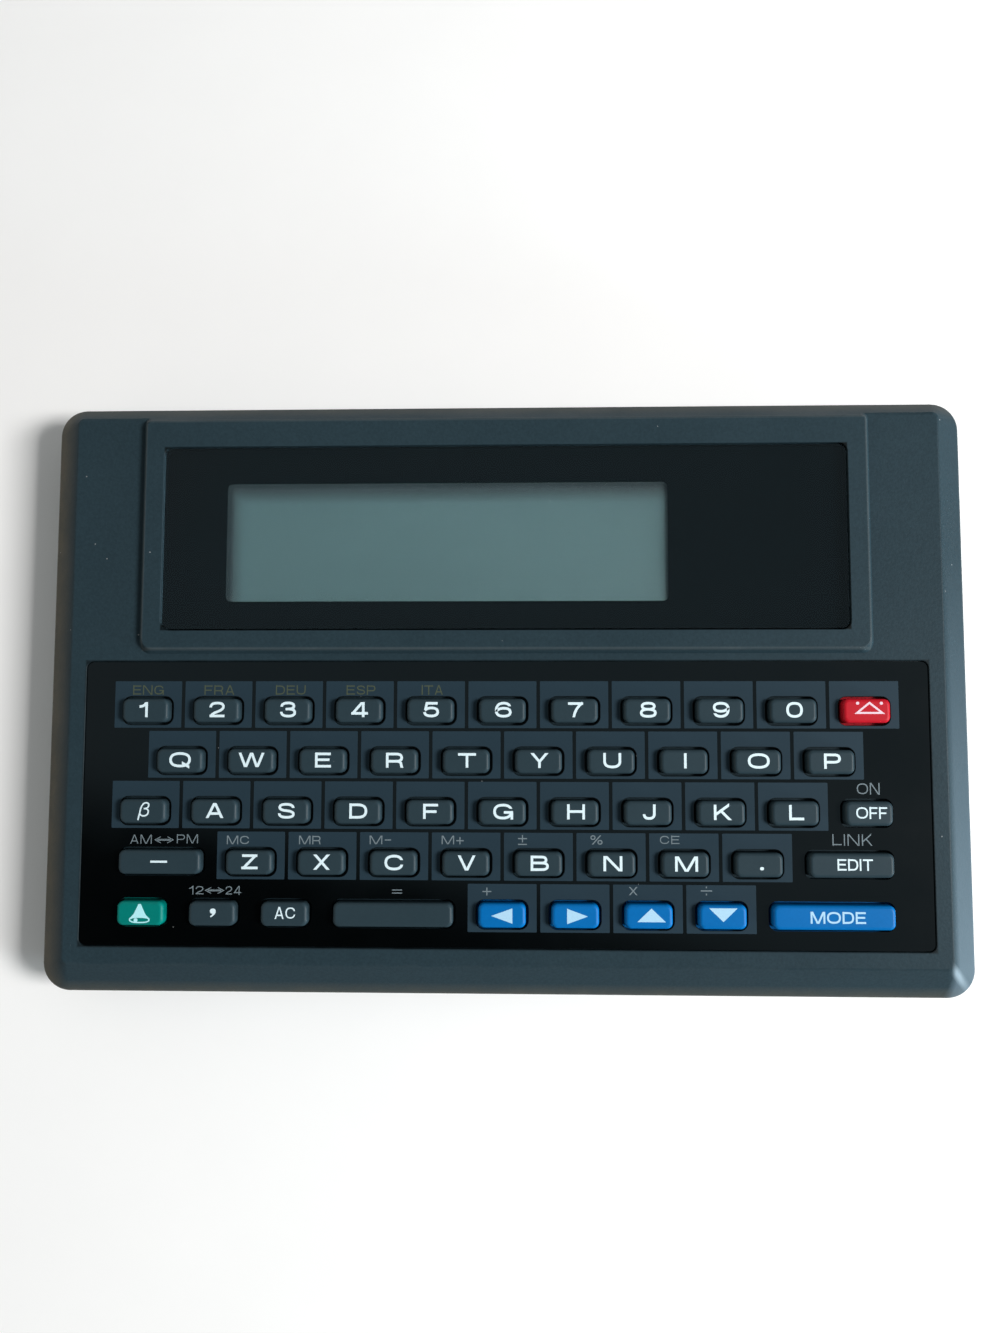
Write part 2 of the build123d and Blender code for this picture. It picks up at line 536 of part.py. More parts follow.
def main():
    os.makedirs("parts", exist_ok=True)
    nodes = {
        "top_case": make_top_case(),
        "bottom_case": make_bottom_case(),
        "key_fascia": make_key_fascia(),
        "display_window": make_window(),
        "lcd_panel": make_lcd_panel(),
        "key_mat": make_key_mat(),
        "circuit_board": make_circuit_board(),
        "battery_cells": make_cells(),
        "battery_cover": make_battery_cover(),
    }
    for name, row, first, last in key_layout():
        x, y, width = key_place(row, first, last)
        nodes[f"key_{name}"] = Pos(x, y, KEY_BASE_Z) * make_key(width)
    for name, shape in nodes.items():
        export_step(shape, f"parts/{name}.step")


main()
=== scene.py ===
"""Handheld translator: a flat pocket translator with 51 keys and a one-line display.

The sections follow the object as it is put together, from the lower case up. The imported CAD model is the
frame: its nodes stay where they are and get their finishes here, and prints, legends, glass and screws are
added to them. Lengths are in millimetres and turned into metres where a mesh or a material is made.
"""

import bpy
import numpy as np
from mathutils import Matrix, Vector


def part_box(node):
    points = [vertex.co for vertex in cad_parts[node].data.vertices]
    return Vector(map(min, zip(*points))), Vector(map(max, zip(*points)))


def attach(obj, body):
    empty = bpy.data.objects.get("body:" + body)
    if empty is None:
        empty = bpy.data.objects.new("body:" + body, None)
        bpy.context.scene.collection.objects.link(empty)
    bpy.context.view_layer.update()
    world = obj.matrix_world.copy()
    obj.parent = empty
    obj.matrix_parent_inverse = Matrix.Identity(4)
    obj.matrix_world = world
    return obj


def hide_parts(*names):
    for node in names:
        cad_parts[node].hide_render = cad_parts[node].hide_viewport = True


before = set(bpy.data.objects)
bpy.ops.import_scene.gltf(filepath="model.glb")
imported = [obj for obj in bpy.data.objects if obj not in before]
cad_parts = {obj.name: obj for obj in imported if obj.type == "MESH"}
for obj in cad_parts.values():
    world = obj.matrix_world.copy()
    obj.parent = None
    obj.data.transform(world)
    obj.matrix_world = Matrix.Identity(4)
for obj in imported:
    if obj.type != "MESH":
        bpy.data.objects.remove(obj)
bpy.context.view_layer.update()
MM = 0.001


# ---------------------------------------------------------------- lower case
# Shallow tray of dark slate ABS with four feet, moulded in a spark-eroded tool, so every outer face has a
# fine matt grain. Its colour comes from the melt, and dust lies on it.
def feed(node, sockets):
    """Gives a node's inputs, by name or number, each a plain value or the output that feeds it."""
    for socket, value in sockets.items():
        if isinstance(value, bpy.types.NodeSocket):
            node.id_data.links.new(value, node.inputs[socket])
        else:
            node.inputs[socket].default_value = value


def put(tree, kind, sockets=(), **settings):
    """Adds a shader node with those inputs and settings."""
    node = tree.nodes.new("ShaderNode" + kind)
    for name, value in settings.items():
        setattr(node, name, value)
    feed(node, dict(sockets))
    return node


def calc(tree, operation, *values):
    """One Math node's result."""
    return put(tree, "Math", dict(enumerate(values)), operation=operation).outputs[0]


def mix(tree, share, first, second):
    """A colour that goes from first to second as share goes from 0 to 1."""
    first, second = (c if isinstance(c, bpy.types.NodeSocket) else (*c, 1.0) for c in (first, second))
    return put(tree, "Mix", {0: share, 6: first, 7: second}, data_type="RGBA").outputs[2]


def ramp(tree, value, low, high, out_low=0.0, out_high=1.0):
    """value carried from low..high to out_low..out_high, and held there outside."""
    return put(tree, "MapRange", {0: value, 1: low, 2: high, 3: out_low, 4: out_high}).outputs[0]


def vary(tree, noise, low, high):
    """A noise value, most of which lies between 0.3 and 0.7, spread over low..high."""
    return ramp(tree, noise, 0.3, 0.7, low, high)


def object_place(tree):
    """The point's own place on the object, in metres."""
    return put(tree, "TexCoord").outputs["Object"]


def new_group(name, inputs, outputs):
    """An empty shader node group with those float inputs and outputs: it, its given values and its result."""
    group = bpy.data.node_groups.new(name, "ShaderNodeTree")
    for label, value in inputs.items():
        socket = group.interface.new_socket(label, in_out="INPUT", socket_type="NodeSocketFloat")
        socket.default_value = value
    for label in outputs:
        group.interface.new_socket(label, in_out="OUTPUT", socket_type="NodeSocketFloat")
    return group, group.nodes.new("NodeGroupInput").outputs, group.nodes.new("NodeGroupOutput")


# Grain: a fine sand texture for the bump, and slow clouds a centimetre or two across for colour and gloss.
CLOUDS_PER_METRE = 70.0
grain_group, given, result = new_group("grain", {"Grains per metre": 2600.0}, ["Height", "Clouds"])
noise = {"Vector": object_place(grain_group), "Roughness": 0.6}
sand = put(grain_group, "TexNoise", {**noise, "Scale": given[0], "Detail": 2.0})
clouds = put(grain_group, "TexNoise", {**noise, "Scale": CLOUDS_PER_METRE, "Detail": 4.0})
feed(result, {"Height": sand.outputs[0], "Clouds": clouds.outputs[0]})

# Dust: a speck sits where the surface passes close to the middle of one of a few chosen random cells.
dust_inputs = {"Cells per metre": 600.0, "Share": 0.1, "Size": 0.06}
dust_group, given, result = new_group("dust", dust_inputs, ["Mask"])
cells = put(dust_group, "TexVoronoi", {"Vector": object_place(dust_group), "Scale": given[0]})
cell_number = put(dust_group, "SeparateColor", {0: cells.outputs["Color"]}).outputs[0]
chosen = calc(dust_group, "LESS_THAN", cell_number, given[1])
speck = calc(dust_group, "LESS_THAN", cells.outputs["Distance"], given[2])
feed(result, {"Mask": calc(dust_group, "MULTIPLY", chosen, speck)})


def beyond_block(tree, given):
    """How far the point lies outside a rectangle seen from above, less than zero inside it: the larger of
    |x - centre| - half width and |y - centre| - half depth."""
    place = put(tree, "SeparateXYZ", {0: object_place(tree)}).outputs
    from_middle = [calc(tree, "ABSOLUTE", calc(tree, "SUBTRACT", place[n], given[n])) for n in (0, 1)]
    return calc(tree, "MAXIMUM", *(calc(tree, "SUBTRACT", from_middle[n], given[n + 2]) for n in (0, 1)))


# Edge marks, for wear and for painted light and shade: a line along a rectangle seen from above, strong to
# 0.3 of its width and gone at its full width.
# Break is how much of it is missing in patches, from 0 to 1.
PLAN_BLOCK = {"Centre x": 0.0, "Centre y": 0.0, "Half width": 0.05, "Half depth": 0.05}
PATCHES_PER_METRE = 220.0
edge_group, given, result = new_group("edge_wear_and_light", {**PLAN_BLOCK, "Line": 0.0003, "Break": 1.0}, ["Mask"])
distance = calc(edge_group, "ABSOLUTE", beyond_block(edge_group, given))
line = ramp(edge_group, calc(edge_group, "DIVIDE", distance, given["Line"]), 0.3, 1.0, 1.0, 0.0)
noise = {"Vector": object_place(edge_group), "Scale": PATCHES_PER_METRE, "Detail": 5.0, "Roughness": 0.75}
missing = ramp(edge_group, put(edge_group, "TexNoise", noise).outputs[0], 0.42, 0.66, 1.0, 0.0)
kept = calc(edge_group, "SUBTRACT", 1.0, calc(edge_group, "MULTIPLY", missing, given["Break"]))
feed(result, {"Mask": calc(edge_group, "MULTIPLY", line, kept)})


def use_group(tree, group, **values):
    """Places a group in a material. The words of a value's name stand for the socket of that name."""
    node = put(tree, "Group", node_tree=group)
    feed(node, {name.replace("_", " ").capitalize(): value for name, value in values.items()})
    return node.outputs


def new_material(name):
    """A node material with only a Principled BSDF: the material, its node tree and that shader."""
    material = bpy.data.materials.new(name)
    material.use_nodes = True
    return material, material.node_tree, material.node_tree.nodes["Principled BSDF"]


def bump(tree, height, depth_mm):
    """The normal of a surface whose height rises by depth_mm."""
    return put(tree, "Bump", {"Height": height, "Distance": depth_mm * MM}).outputs[0]


def dusted(tree, colour, dust_colour, cover, **values):
    """A colour under the dust group's specks, each of which hides a share of it."""
    specks = use_group(tree, dust_group, **values)
    return mix(tree, calc(tree, "MULTIPLY", specks["Mask"], cover), colour, dust_colour)


PLASTIC_DUST = (0.55, 0.57, 0.58)
FLAT_ANGLE_SHINE = 0.02


def moulded_plastic(name, colour, roughness, grain_mm, shine=0.08, wear_and_light_edges=(), dust=0.1, mottle=0.1):
    """Moulded plastic: clouds shift its colour and gloss a little, sand grain bumps and mottles it, and dust
    specks lie on it. The grain shades itself at flat angles, so the gloss fades there.

    The list of edge marks gives rectangles whose outlines are rubbed, or carry painted light and shade, each
    as how much, its colour and the edge wear group's inputs.
    """
    material, tree, shader = new_material(name)
    grain = use_group(tree, grain_group)
    colour = mix(tree, grain["Clouds"], [0.9 * c for c in colour], [1.1 * c for c in colour])
    spread = vary(tree, grain["Height"], 1 - mottle, 1 + mottle)
    colour = put(tree, "VectorMath", {0: colour, "Scale": spread}, operation="SCALE").outputs[0]
    for amount, shade, edges in wear_and_light_edges:
        wear_and_light = use_group(tree, edge_group, **edges)
        colour = mix(tree, calc(tree, "MULTIPLY", wear_and_light["Mask"], amount), colour, shade)
    facing = put(tree, "LayerWeight", {"Blend": 0.5}).outputs["Facing"]
    feed(shader, {
        "Base Color": dusted(tree, colour, PLASTIC_DUST, 0.35, Share=dust),
        "Roughness": vary(tree, grain["Clouds"], roughness - 0.05, roughness + 0.05),
        "Specular IOR Level": ramp(tree, facing, 0.2, 0.5, shine, FLAT_ANGLE_SHINE),
        "Normal": bump(tree, grain["Height"], grain_mm),
    })
    return material


def finish(node, material):
    """A CAD node's material slots all get this material."""
    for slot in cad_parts[node].material_slots:
        slot.material = material


SLATE = (0.0195, 0.0370, 0.0475)
CASE_ROUGHNESS, CASE_GRAIN = 0.46, 0.02
lower_plastic = moulded_plastic("lower_case_abs", SLATE, CASE_ROUGHNESS, CASE_GRAIN)
finish("bottom_case", lower_plastic)


# ---------------------------------------------------------------- circuit board
# Glass-fibre board with green solder mask and tinned tracks. Black moulded chips, a crystal can, aluminium
# capacitors, a brass buzzer and sprung steel contacts are soldered under it.
def box_mm(node):
    """A CAD node's lowest and highest corner in millimetres."""
    return np.array(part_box(node)) / MM


BOARD_THICKNESS = 1.0
MASK_DEPTH = 0.01
CHIPS = [(-43.0, 24.0, 14.0, 20.0), (43.0, 24.0, 12.0, 18.0), (0.0, -10.0, 14.0, 14.0)]  # x, y, width, depth
CHIP_MARGIN = 0.1
WEAVE_PER_METRE = 260.0
SOLDER_MASK, TRACK = [(0.010, 0.10, 0.035), (0.012, 0.12, 0.04)], (0.03, 0.20, 0.07)
CHIP_BLACK, PART_METAL = (0.012, 0.012, 0.013), (0.55, 0.53, 0.49)

# Block: 1 inside a rectangle seen from above.
block_group, given, result = new_group("block", PLAN_BLOCK, ["Mask"])
feed(result, {"Mask": calc(block_group, "LESS_THAN", beyond_block(block_group, given), 0.0)})

board_material, tree, shader = new_material("circuit_board_parts")
place = object_place(tree)
height = put(tree, "SeparateXYZ", {0: place}).outputs[2]
first, second, mortar = ((*colour, 1.0) for colour in (*SOLDER_MASK, TRACK))
tracks = put(tree, "TexBrick", {
    "Vector": place, "Scale": WEAVE_PER_METRE, "Mortar Size": 0.09, "Color1": first, "Color2": second,
    "Mortar": mortar,
})
underside = box_mm("circuit_board")[1][2] - BOARD_THICKNESS
under = ramp(tree, height, (underside - 2 * MASK_DEPTH) * MM, (underside - MASK_DEPTH) * MM, 1.0, 0.0)
chip = 0.0
for x, y, width, depth in CHIPS:
    half_width, half_depth = (size / 2 + CHIP_MARGIN for size in (width, depth))
    block = use_group(
        tree, block_group, Centre_x=x * MM, Centre_y=y * MM, Half_width=half_width * MM,
        Half_depth=half_depth * MM,
    )
    chip = calc(tree, "MAXIMUM", chip, block["Mask"])
chip = calc(tree, "MULTIPLY", chip, under)
metal = calc(tree, "SUBTRACT", under, chip)
grain = use_group(tree, grain_group)
feed(shader, {
    "Base Color": mix(tree, metal, mix(tree, chip, tracks.outputs["Color"], CHIP_BLACK), PART_METAL),
    "Metallic": metal,
    "Roughness": vary(tree, grain["Clouds"], 0.3, 0.45),
    "Normal": bump(tree, tracks.outputs["Fac"], 0.02),
})
finish("circuit_board", board_material)


# ---------------------------------------------------------------- rubber key mat
# One sheet of grey translucent silicone with a hollow dome under every key. It is pressed in a mould and
# lies loose on the board, with talc on it.
mat_material, tree, shader = new_material("silicone_rubber")
grain = use_group(tree, grain_group, Grains_per_metre=1800.0)
feed(shader, {
    "Base Color": mix(tree, grain["Clouds"], (0.38, 0.39, 0.38), (0.46, 0.47, 0.46)),
    "Roughness": vary(tree, grain["Height"], 0.55, 0.7),
    "Subsurface Weight": 0.2,
    "Subsurface Radius": (0.001, 0.001, 0.001),
    "Normal": bump(tree, grain["Height"], 0.01),
})
finish("key_mat", mat_material)


# ---------------------------------------------------------------- keys
# Fifty-one hard keys of satin ABS, each moulded in one with the flange that keeps it under the deck. Most
# are the slate of the case. Translate is red, the arrows and mode are blue and the alarm is green.
KEY_COLOURS = {
    "slate": (0.0215, 0.0390, 0.0495),
    "blue": (0.0, 0.125, 0.385),
    "red": (0.45, 0.009, 0.020),
    "green": (0.0, 0.175, 0.15),
}
COLOURED_KEYS = {
    "translate": "red", "alarm": "green",
    "left": "blue", "right": "blue", "up": "blue", "down": "blue", "mode": "blue",
}
NOT_KEYS = ("key_mat", "key_fascia")
key_names = [name[4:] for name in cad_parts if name.startswith("key_") and name not in NOT_KEYS]
key_plastics = {
    name: moulded_plastic(name + "_key_abs", colour, 0.42, 0.004, shine=0.12, dust=0.04, mottle=0.03)
    for name, colour in KEY_COLOURS.items()
}
for name in key_names:
    finish("key_" + name, key_plastics[COLOURED_KEYS.get(name, "slate")])


# ---------------------------------------------------------------- key legends
# White ink, pad-printed on the key tops in wide plain capitals of even stroke. Icons are printed the same
# way: solid arrows, a roof with two dots on translate, and a bell on the alarm.
INK_THICKNESS = 0.012
LEGEND_STROKE = 0.355
LEGEND_SHIFT = (0.15, 0.13)
LETTER_GAP = 0.2  # of a capital's height
WORDS = {
    # text, width, height; then, where they aren't the usual ones, a shift from the key's middle and a stroke
    "1": ("1", 1.27, 2.10, -0.21, 0.1), "2": ("2", 2.25, 2.20), "3": ("3", 2.24, 2.24),
    "4": ("4", 2.37, 2.09), "5": ("5", 2.23, 2.15), "6": ("6", 2.35, 2.20), "7": ("7", 2.21, 2.07),
    "8": ("8", 2.33, 2.22), "9": ("9", 2.32, 2.20), "0": ("0", 2.31, 2.20), "q": ("Q", 3.09, 2.12),
    "w": ("W", 3.64, 1.98), "e": ("E", 2.23, 2.07), "r": ("R", 2.50, 2.07), "t": ("T", 2.49, 2.00),
    "y": ("Y", 2.48, 2.04), "u": ("U", 2.47, 2.10), "i": ("I", 0.40, 2.07), "o": ("O", 2.99, 2.12),
    "p": ("P", 2.30, 2.08), "a": ("A", 2.50, 2.06), "s": ("S", 2.37, 2.18), "d": ("D", 2.50, 2.08),
    "f": ("F", 2.07, 2.07), "g": ("G", 2.75, 2.16), "h": ("H", 2.46, 2.07), "j": ("J", 1.77, 2.10),
    "k": ("K", 2.44, 2.07), "l": ("L", 2.03, 2.07), "z": ("Z", 2.36, 2.04), "x": ("X", 2.35, 2.07),
    "c": ("C", 2.62, 2.14), "v": ("V", 2.47, 2.04), "b": ("B", 2.46, 2.08), "n": ("N", 2.58, 2.05),
    "m": ("M", 3.12, 2.05), "power": ("OFF", 4.15, 1.62, 0.28, 0.13, 0.21),
    "edit": ("EDIT", 4.75, 1.58, 0.40, 0.13, 0.22), "mode": ("MODE", 7.40, 1.60, 0.46, 0.05, 0.255),
    "all_clear": ("AC", 2.86, 1.62, 0.2, 0.21, 0.185), "minus": ("-", 2.53, 1.60, -0.1, 0.08, 0.29),
    "eszett": ("b", 1.75, 2.05, 0.15, 0.28, 0.20),
}


def loop(left, bottom, right, top):
    """A closed round stroke that four pulls at a rectangle's corners draw."""
    return [(left, bottom, 1), (right, bottom, 1), (right, top, 1), (left, top, 1), (left, bottom, 1)]


# Each letter: its width, then its strokes. One is the height of a capital. A point of a stroke is a corner,
# or with a third number a pull: the line bends towards it and doesn't reach it.
STEM = [(0.09, 0), (0.09, 1)]
BOWL = [(0.09, 0.91), (0.68, 0.91), (1.02, 0.91, 1), (1.02, 0.43, 1), (0.68, 0.43), (0.09, 0.43)]
LETTERS = {
    "A": (1.15, [(0.10, 0), (0.56, 1)], [(1.05, 0), (0.59, 1)], [(0.22, 0.30), (0.93, 0.30)]),
    "B": (
        1.17, STEM,
        [(0.09, 0.91), (0.70, 0.91), (1.0, 0.91, 1), (1.0, 0.52, 1), (0.72, 0.52), (0.09, 0.52)],
        [(0.72, 0.52), (1.10, 0.52, 1), (1.10, 0.09, 1), (0.72, 0.09), (0.09, 0.09)],
    ),
    "C": (
        1.24,
        [(1.12, 0.66), (1.04, 0.91, 1), (0.64, 0.91), (0.09, 0.91, 1), (0.09, 0.50), (0.09, 0.09, 1),
         (0.64, 0.09), (1.07, 0.09, 1), (1.14, 0.37)],
    ),
    "D": (
        1.20, STEM,
        [(0.09, 0.91), (0.58, 0.91), (1.11, 0.91, 1), (1.11, 0.09, 1), (0.58, 0.09), (0.09, 0.09)],
    ),
    "E": (
        1.08, STEM, [(0.09, 0.91), (1.06, 0.91)], [(0.09, 0.52), (0.98, 0.52)],
        [(0.09, 0.09), (1.08, 0.09)],
    ),
    "F": (1.00, STEM, [(0.09, 0.91), (1.00, 0.91)], [(0.09, 0.48), (0.90, 0.48)]),
    "G": (
        1.27,
        [(1.13, 0.68), (1.02, 0.91, 1), (0.63, 0.91), (0.09, 0.91, 1), (0.09, 0.50), (0.09, 0.09, 1),
         (0.62, 0.09), (1.08, 0.09, 1), (1.16, 0.45)],
        [(0.68, 0.45), (1.27, 0.45)], [(1.19, 0), (1.19, 0.45)],
    ),
    "H": (1.19, STEM, [(1.10, 0), (1.10, 1)], [(0.09, 0.52), (1.10, 0.52)]),
    "I": (0.18, STEM),
    "J": (0.85, [(0.76, 1), (0.76, 0.40), (0.76, 0.09, 1), (0.42, 0.09), (0.09, 0.09, 1), (0.09, 0.36)]),
    "K": (1.16, STEM, [(0.10, 0.34), (1.00, 1)], [(0.46, 0.60), (1.05, 0)]),
    "L": (0.98, STEM, [(0.09, 0.09), (0.98, 0.09)]),
    "M": (1.54, STEM, [(1.45, 0), (1.45, 1)], [(0.15, 1), (0.75, 0)], [(1.39, 1), (0.79, 0)]),
    "N": (1.28, STEM, [(1.19, 0), (1.19, 1)], [(0.14, 1), (1.14, 0)]),
    "O": (1.46, loop(0.09, 0.09, 1.37, 0.91)),
    "P": (1.11, STEM, BOWL),
    "Q": (1.48, loop(0.09, 0.09, 1.37, 0.91), [(0.86, 0.30), (1.36, 0.02)]),
    "R": (
        1.16, STEM, BOWL,
        [(0.66, 0.43), (0.98, 0.43, 1), (0.99, 0.22), (1.00, 0.10, 1), (1.05, 0)],
    ),
    "S": (
        1.08,
        [(0.98, 0.68), (0.95, 0.91, 1), (0.54, 0.91), (0.12, 0.91, 1), (0.12, 0.72), (0.12, 0.54, 1),
         (0.54, 0.51), (1.00, 0.47, 1), (0.99, 0.28), (0.99, 0.09, 1), (0.54, 0.09), (0.10, 0.09, 1),
         (0.09, 0.34)],
    ),
    "T": (1.22, [(0, 0.91), (1.22, 0.91)], [(0.61, 0), (0.61, 0.91)]),
    "U": (
        1.19,
        [(0.09, 1), (0.09, 0.45), (0.09, 0.09, 1), (0.595, 0.09), (1.10, 0.09, 1), (1.10, 0.45), (1.10, 1)],
    ),
    "V": (1.20, [(0.10, 1), (0.585, 0)], [(1.10, 1), (0.615, 0)]),
    "W": (
        1.84, [(0.10, 1), (0.50, 0)], [(0.53, 0), (0.905, 1)], [(0.935, 1), (1.31, 0)],
        [(1.34, 0), (1.74, 1)],
    ),
    "X": (1.14, [(0.12, 0), (1.02, 1)], [(0.12, 1), (1.02, 0)]),
    "Y": (1.20, [(0.11, 1), (0.60, 0.42)], [(1.09, 1), (0.60, 0.42)], [(0.60, 0.46), (0.60, 0)]),
    "Z": (1.14, [(0.07, 0.91), (1.09, 0.91)], [(0.14, 0.05), (1.00, 0.95)], [(0.03, 0.09), (1.12, 0.09)]),
    "0": (1.04, loop(0.09, 0.09, 0.95, 0.91)),
    "1": (0.60, [(0.50, 0), (0.50, 1)], [(0.03, 0.71), (0.40, 0.71, 1), (0.46, 0.98)]),
    "2": (
        1.04,
        [(0.11, 0.63), (0.12, 0.91, 1), (0.54, 0.91), (0.94, 0.91, 1), (0.94, 0.68), (0.94, 0.50, 1),
         (0.56, 0.36), (0.15, 0.22, 1), (0.14, 0.04)],
        [(0.05, 0.09), (1.02, 0.09)],
    ),
    "3": (
        1.04,
        [(0.10, 0.68), (0.12, 0.91, 1), (0.52, 0.91), (0.90, 0.91, 1), (0.90, 0.72), (0.90, 0.54, 1),
         (0.54, 0.53), (0.36, 0.53)],
        [(0.54, 0.53), (0.96, 0.54, 1), (0.96, 0.31), (0.96, 0.09, 1), (0.53, 0.09), (0.10, 0.09, 1),
         (0.08, 0.36)],
    ),
    "4": (1.12, [(0.81, 0), (0.81, 1)], [(0.10, 0.22), (0.76, 1)], [(0.02, 0.25), (1.12, 0.25)]),
    "5": (
        1.06, [(0.95, 0.91), (0.24, 0.91), (0.15, 0.47)],
        [(0.13, 0.47), (0.28, 0.61, 1), (0.54, 0.61), (0.96, 0.61, 1), (0.96, 0.35), (0.96, 0.09, 1),
         (0.53, 0.09), (0.11, 0.09, 1), (0.09, 0.34)],
    ),
    "6": (
        1.06,
        [(0.93, 0.72), (0.86, 0.91, 1), (0.56, 0.91), (0.09, 0.91, 1), (0.09, 0.44), (0.09, 0.09, 1),
         (0.54, 0.09), (0.97, 0.09, 1), (0.97, 0.34), (0.97, 0.59, 1), (0.56, 0.59), (0.22, 0.59, 1),
         (0.10, 0.38)],
    ),
    "7": (1.04, [(0.03, 0.91), (1.01, 0.91)], [(0.93, 0.93), (0.48, 0.56, 1), (0.40, 0)]),
    "8": (1.06, loop(0.15, 0.53, 0.91, 0.91), loop(0.09, 0.09, 0.97, 0.53)),
    "9": (
        1.06,
        [(0.13, 0.28), (0.20, 0.09, 1), (0.50, 0.09), (0.97, 0.09, 1), (0.97, 0.56), (0.97, 0.91, 1),
         (0.52, 0.91), (0.09, 0.91, 1), (0.09, 0.66), (0.09, 0.41, 1), (0.50, 0.41), (0.84, 0.41, 1),
         (0.96, 0.62)],
    ),
    "b": (
        0.87,
        [(0.07, -0.24), (0.24, 0.50), (0.36, 0.93, 1), (0.62, 0.93), (0.84, 0.93, 1), (0.80, 0.74),
         (0.76, 0.54, 1), (0.46, 0.54)],
        [(0.50, 0.54), (0.82, 0.54, 1), (0.78, 0.29), (0.72, 0.05, 1), (0.46, 0.05), (0.22, 0.05, 1),
         (0.21, 0.22)],
    ),
    "-": (0.80, [(0.06, 0.5), (0.80, 0.5)]),
    "+": (0.96, [(0.04, 0.42), (0.92, 0.42)], [(0.48, 0), (0.48, 0.84)]),
    "=": (1.00, [(0, 0.28), (1, 0.28)], [(0, 0.72), (1, 0.72)]),
    "x": (1.00, [(0.06, 0), (0.94, 1)], [(0.06, 1), (0.94, 0)]),
    "/": (1.00, [(0, 0.5), (1, 0.5)], [(0.5, 0), (0.5, 0.20)], [(0.5, 0.80), (0.5, 1)]),
    "_": (0.90, [(0, 0.64), (0.90, 0.64)], [(0.45, 0.26), (0.45, 1)], [(0, 0.06), (0.90, 0.06)]),
    "%": (1.26, [(0.20, 0), (1.06, 1)], loop(0.05, 0.56, 0.47, 0.95), loop(0.79, 0.05, 1.21, 0.44)),
    "~": (
        2.20, [(0.34, 0.43), (1.86, 0.43)], [(0.34, 0.57), (1.86, 0.57)],
        [(0.72, 0.06), (0.07, 0.50), (0.72, 0.94)], [(1.48, 0.06), (2.13, 0.50), (1.48, 0.94)],
    ),
}


def trace(stroke):
    """A stroke's line as points: straight between corners, a parabola at each pull, from halfway to the pull
    before it to halfway to the next."""
    points = [stroke[0]]
    for before, here in zip(stroke, stroke[1:]):
        if len(before) == len(here) == 3:
            points.append(((before[0] + here[0]) / 2, (before[1] + here[1]) / 2))
        points.append(here)
    if len(stroke[0]) == 3:
        points = [*points[1:], points[1]]
    t = np.linspace(0, 1, 7)[1:, None]
    line = [np.array([points[0][:2]])]
    for n in range(1, len(points)):
        if len(points[n]) == 3:
            start, pull, end = (np.array(p[:2]) for p in points[n - 1:n + 2])
            line.append((1 - t) ** 2 * start + 2 * t * (1 - t) * pull + t ** 2 * end)
        elif len(points[n - 1]) == 2:
            line.append(np.array([points[n]]))
    return np.concatenate(line)


def at_height(outline, height):
    """A plan outline lifted to a height."""
    return np.column_stack([outline, np.full(len(outline), height)])


def skin(rows, columns, close_rows=False, close_columns=True):
    """Four-sided faces between neighbours of a grid of rows x columns points, round the ends where it is
    closed."""
    row, column = np.meshgrid(
        np.arange(rows - (not close_rows)), np.arange(columns - (not close_columns)), indexing="ij"
    )
    next_row, next_column = (row + 1) % rows, (column + 1) % columns
    corners = [
        row * columns + column, row * columns + next_column,
        next_row * columns + next_column, next_row * columns + column,
    ]
    return np.stack(corners, axis=-1).reshape(-1, 4)


def ribbon(line, width, base, top):
    """Ink along a line: at each point the rectangle width x (top - base), mitred between its neighbours'
    directions. Open ends are cut level or plumb, whichever is nearer to square."""
    closed = np.allclose(line[0], line[-1])
    step = np.diff(line, axis=0)
    step /= np.linalg.norm(step, axis=1)[:, None]
    before = np.vstack([step[-1] if closed else step[0], step])
    after = np.vstack([step, step[0] if closed else step[-1]])
    along = before + after
    along /= np.linalg.norm(along, axis=1)[:, None]
    side = np.column_stack([-along[:, 1], along[:, 0]]) / np.maximum((along * after).sum(1), 0.3)[:, None]
    if not closed:
        for end in (0, -1):
            level = abs(along[end, 1]) > abs(along[end, 0])
            side[end] = (-1 / along[end, 1], 0) if level else (0, 1 / along[end, 0])
    left, right = line + side * width / 2, line - side * width / 2
    edges = [(left, top), (right, top), (right, base), (left, base)]
    rings = np.stack([at_height(edge, height) for edge, height in edges], axis=1)
    if closed:
        rings = rings[:-1]
    count = len(rings)
    ends = [] if closed else [np.arange(4)[::-1], np.arange(4) + 4 * (count - 1)]
    return rings.reshape(-1, 3), [*skin(count, 4, close_rows=closed), *ends]


def slab(outline, base, top):
    """A flat piece of any anticlockwise outline: its points at base and top, joined by walls and capped."""
    count = len(outline)
    caps = [np.arange(count)[::-1], np.arange(count) + count]
    return np.concatenate([at_height(outline, base), at_height(outline, top)]), [*skin(2, count), *caps]


def join(parts):
    """Several (points, faces) as one."""
    starts = np.cumsum([0] + [len(points) for points, _ in parts])
    faces = [np.asarray(face) + start for (_, some), start in zip(parts, starts) for face in some]
    return np.concatenate([points for points, _ in parts]), faces


def lettering(text, width, height, middle, base, stroke):
    """A word in even strokes, stretched to width x height about its middle. Each stroke's top is a hair above
    the last one's, so that no two coincide."""
    starts = np.cumsum([0.0] + [LETTERS[letter][0] + LETTER_GAP for letter in text])
    stretch = np.array([width / (starts[-1] - LETTER_GAP), height])
    parts = []
    for letter, start in zip(text, starts):
        for line in LETTERS[letter][1:]:
            points = (trace(line) + (start, 0)) * stretch - (width / 2, height / 2) + middle
            parts.append(ribbon(points, stroke, base, base + INK_THICKNESS + 0.0004 * len(parts)))
    return join(parts)


def add_piece(name, points, faces, material, body="case"):
    """A mesh object from points in millimetres in the frame's own axes. It rides on a body."""
    mesh = bpy.data.meshes.new(name)
    mesh.from_pydata((np.asarray(points) * MM).tolist(), [], [tuple(map(int, face)) for face in faces])
    mesh.materials.append(material)
    piece = bpy.data.objects.new(name, mesh)
    bpy.context.scene.collection.objects.link(piece)
    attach(piece, body)
    return piece


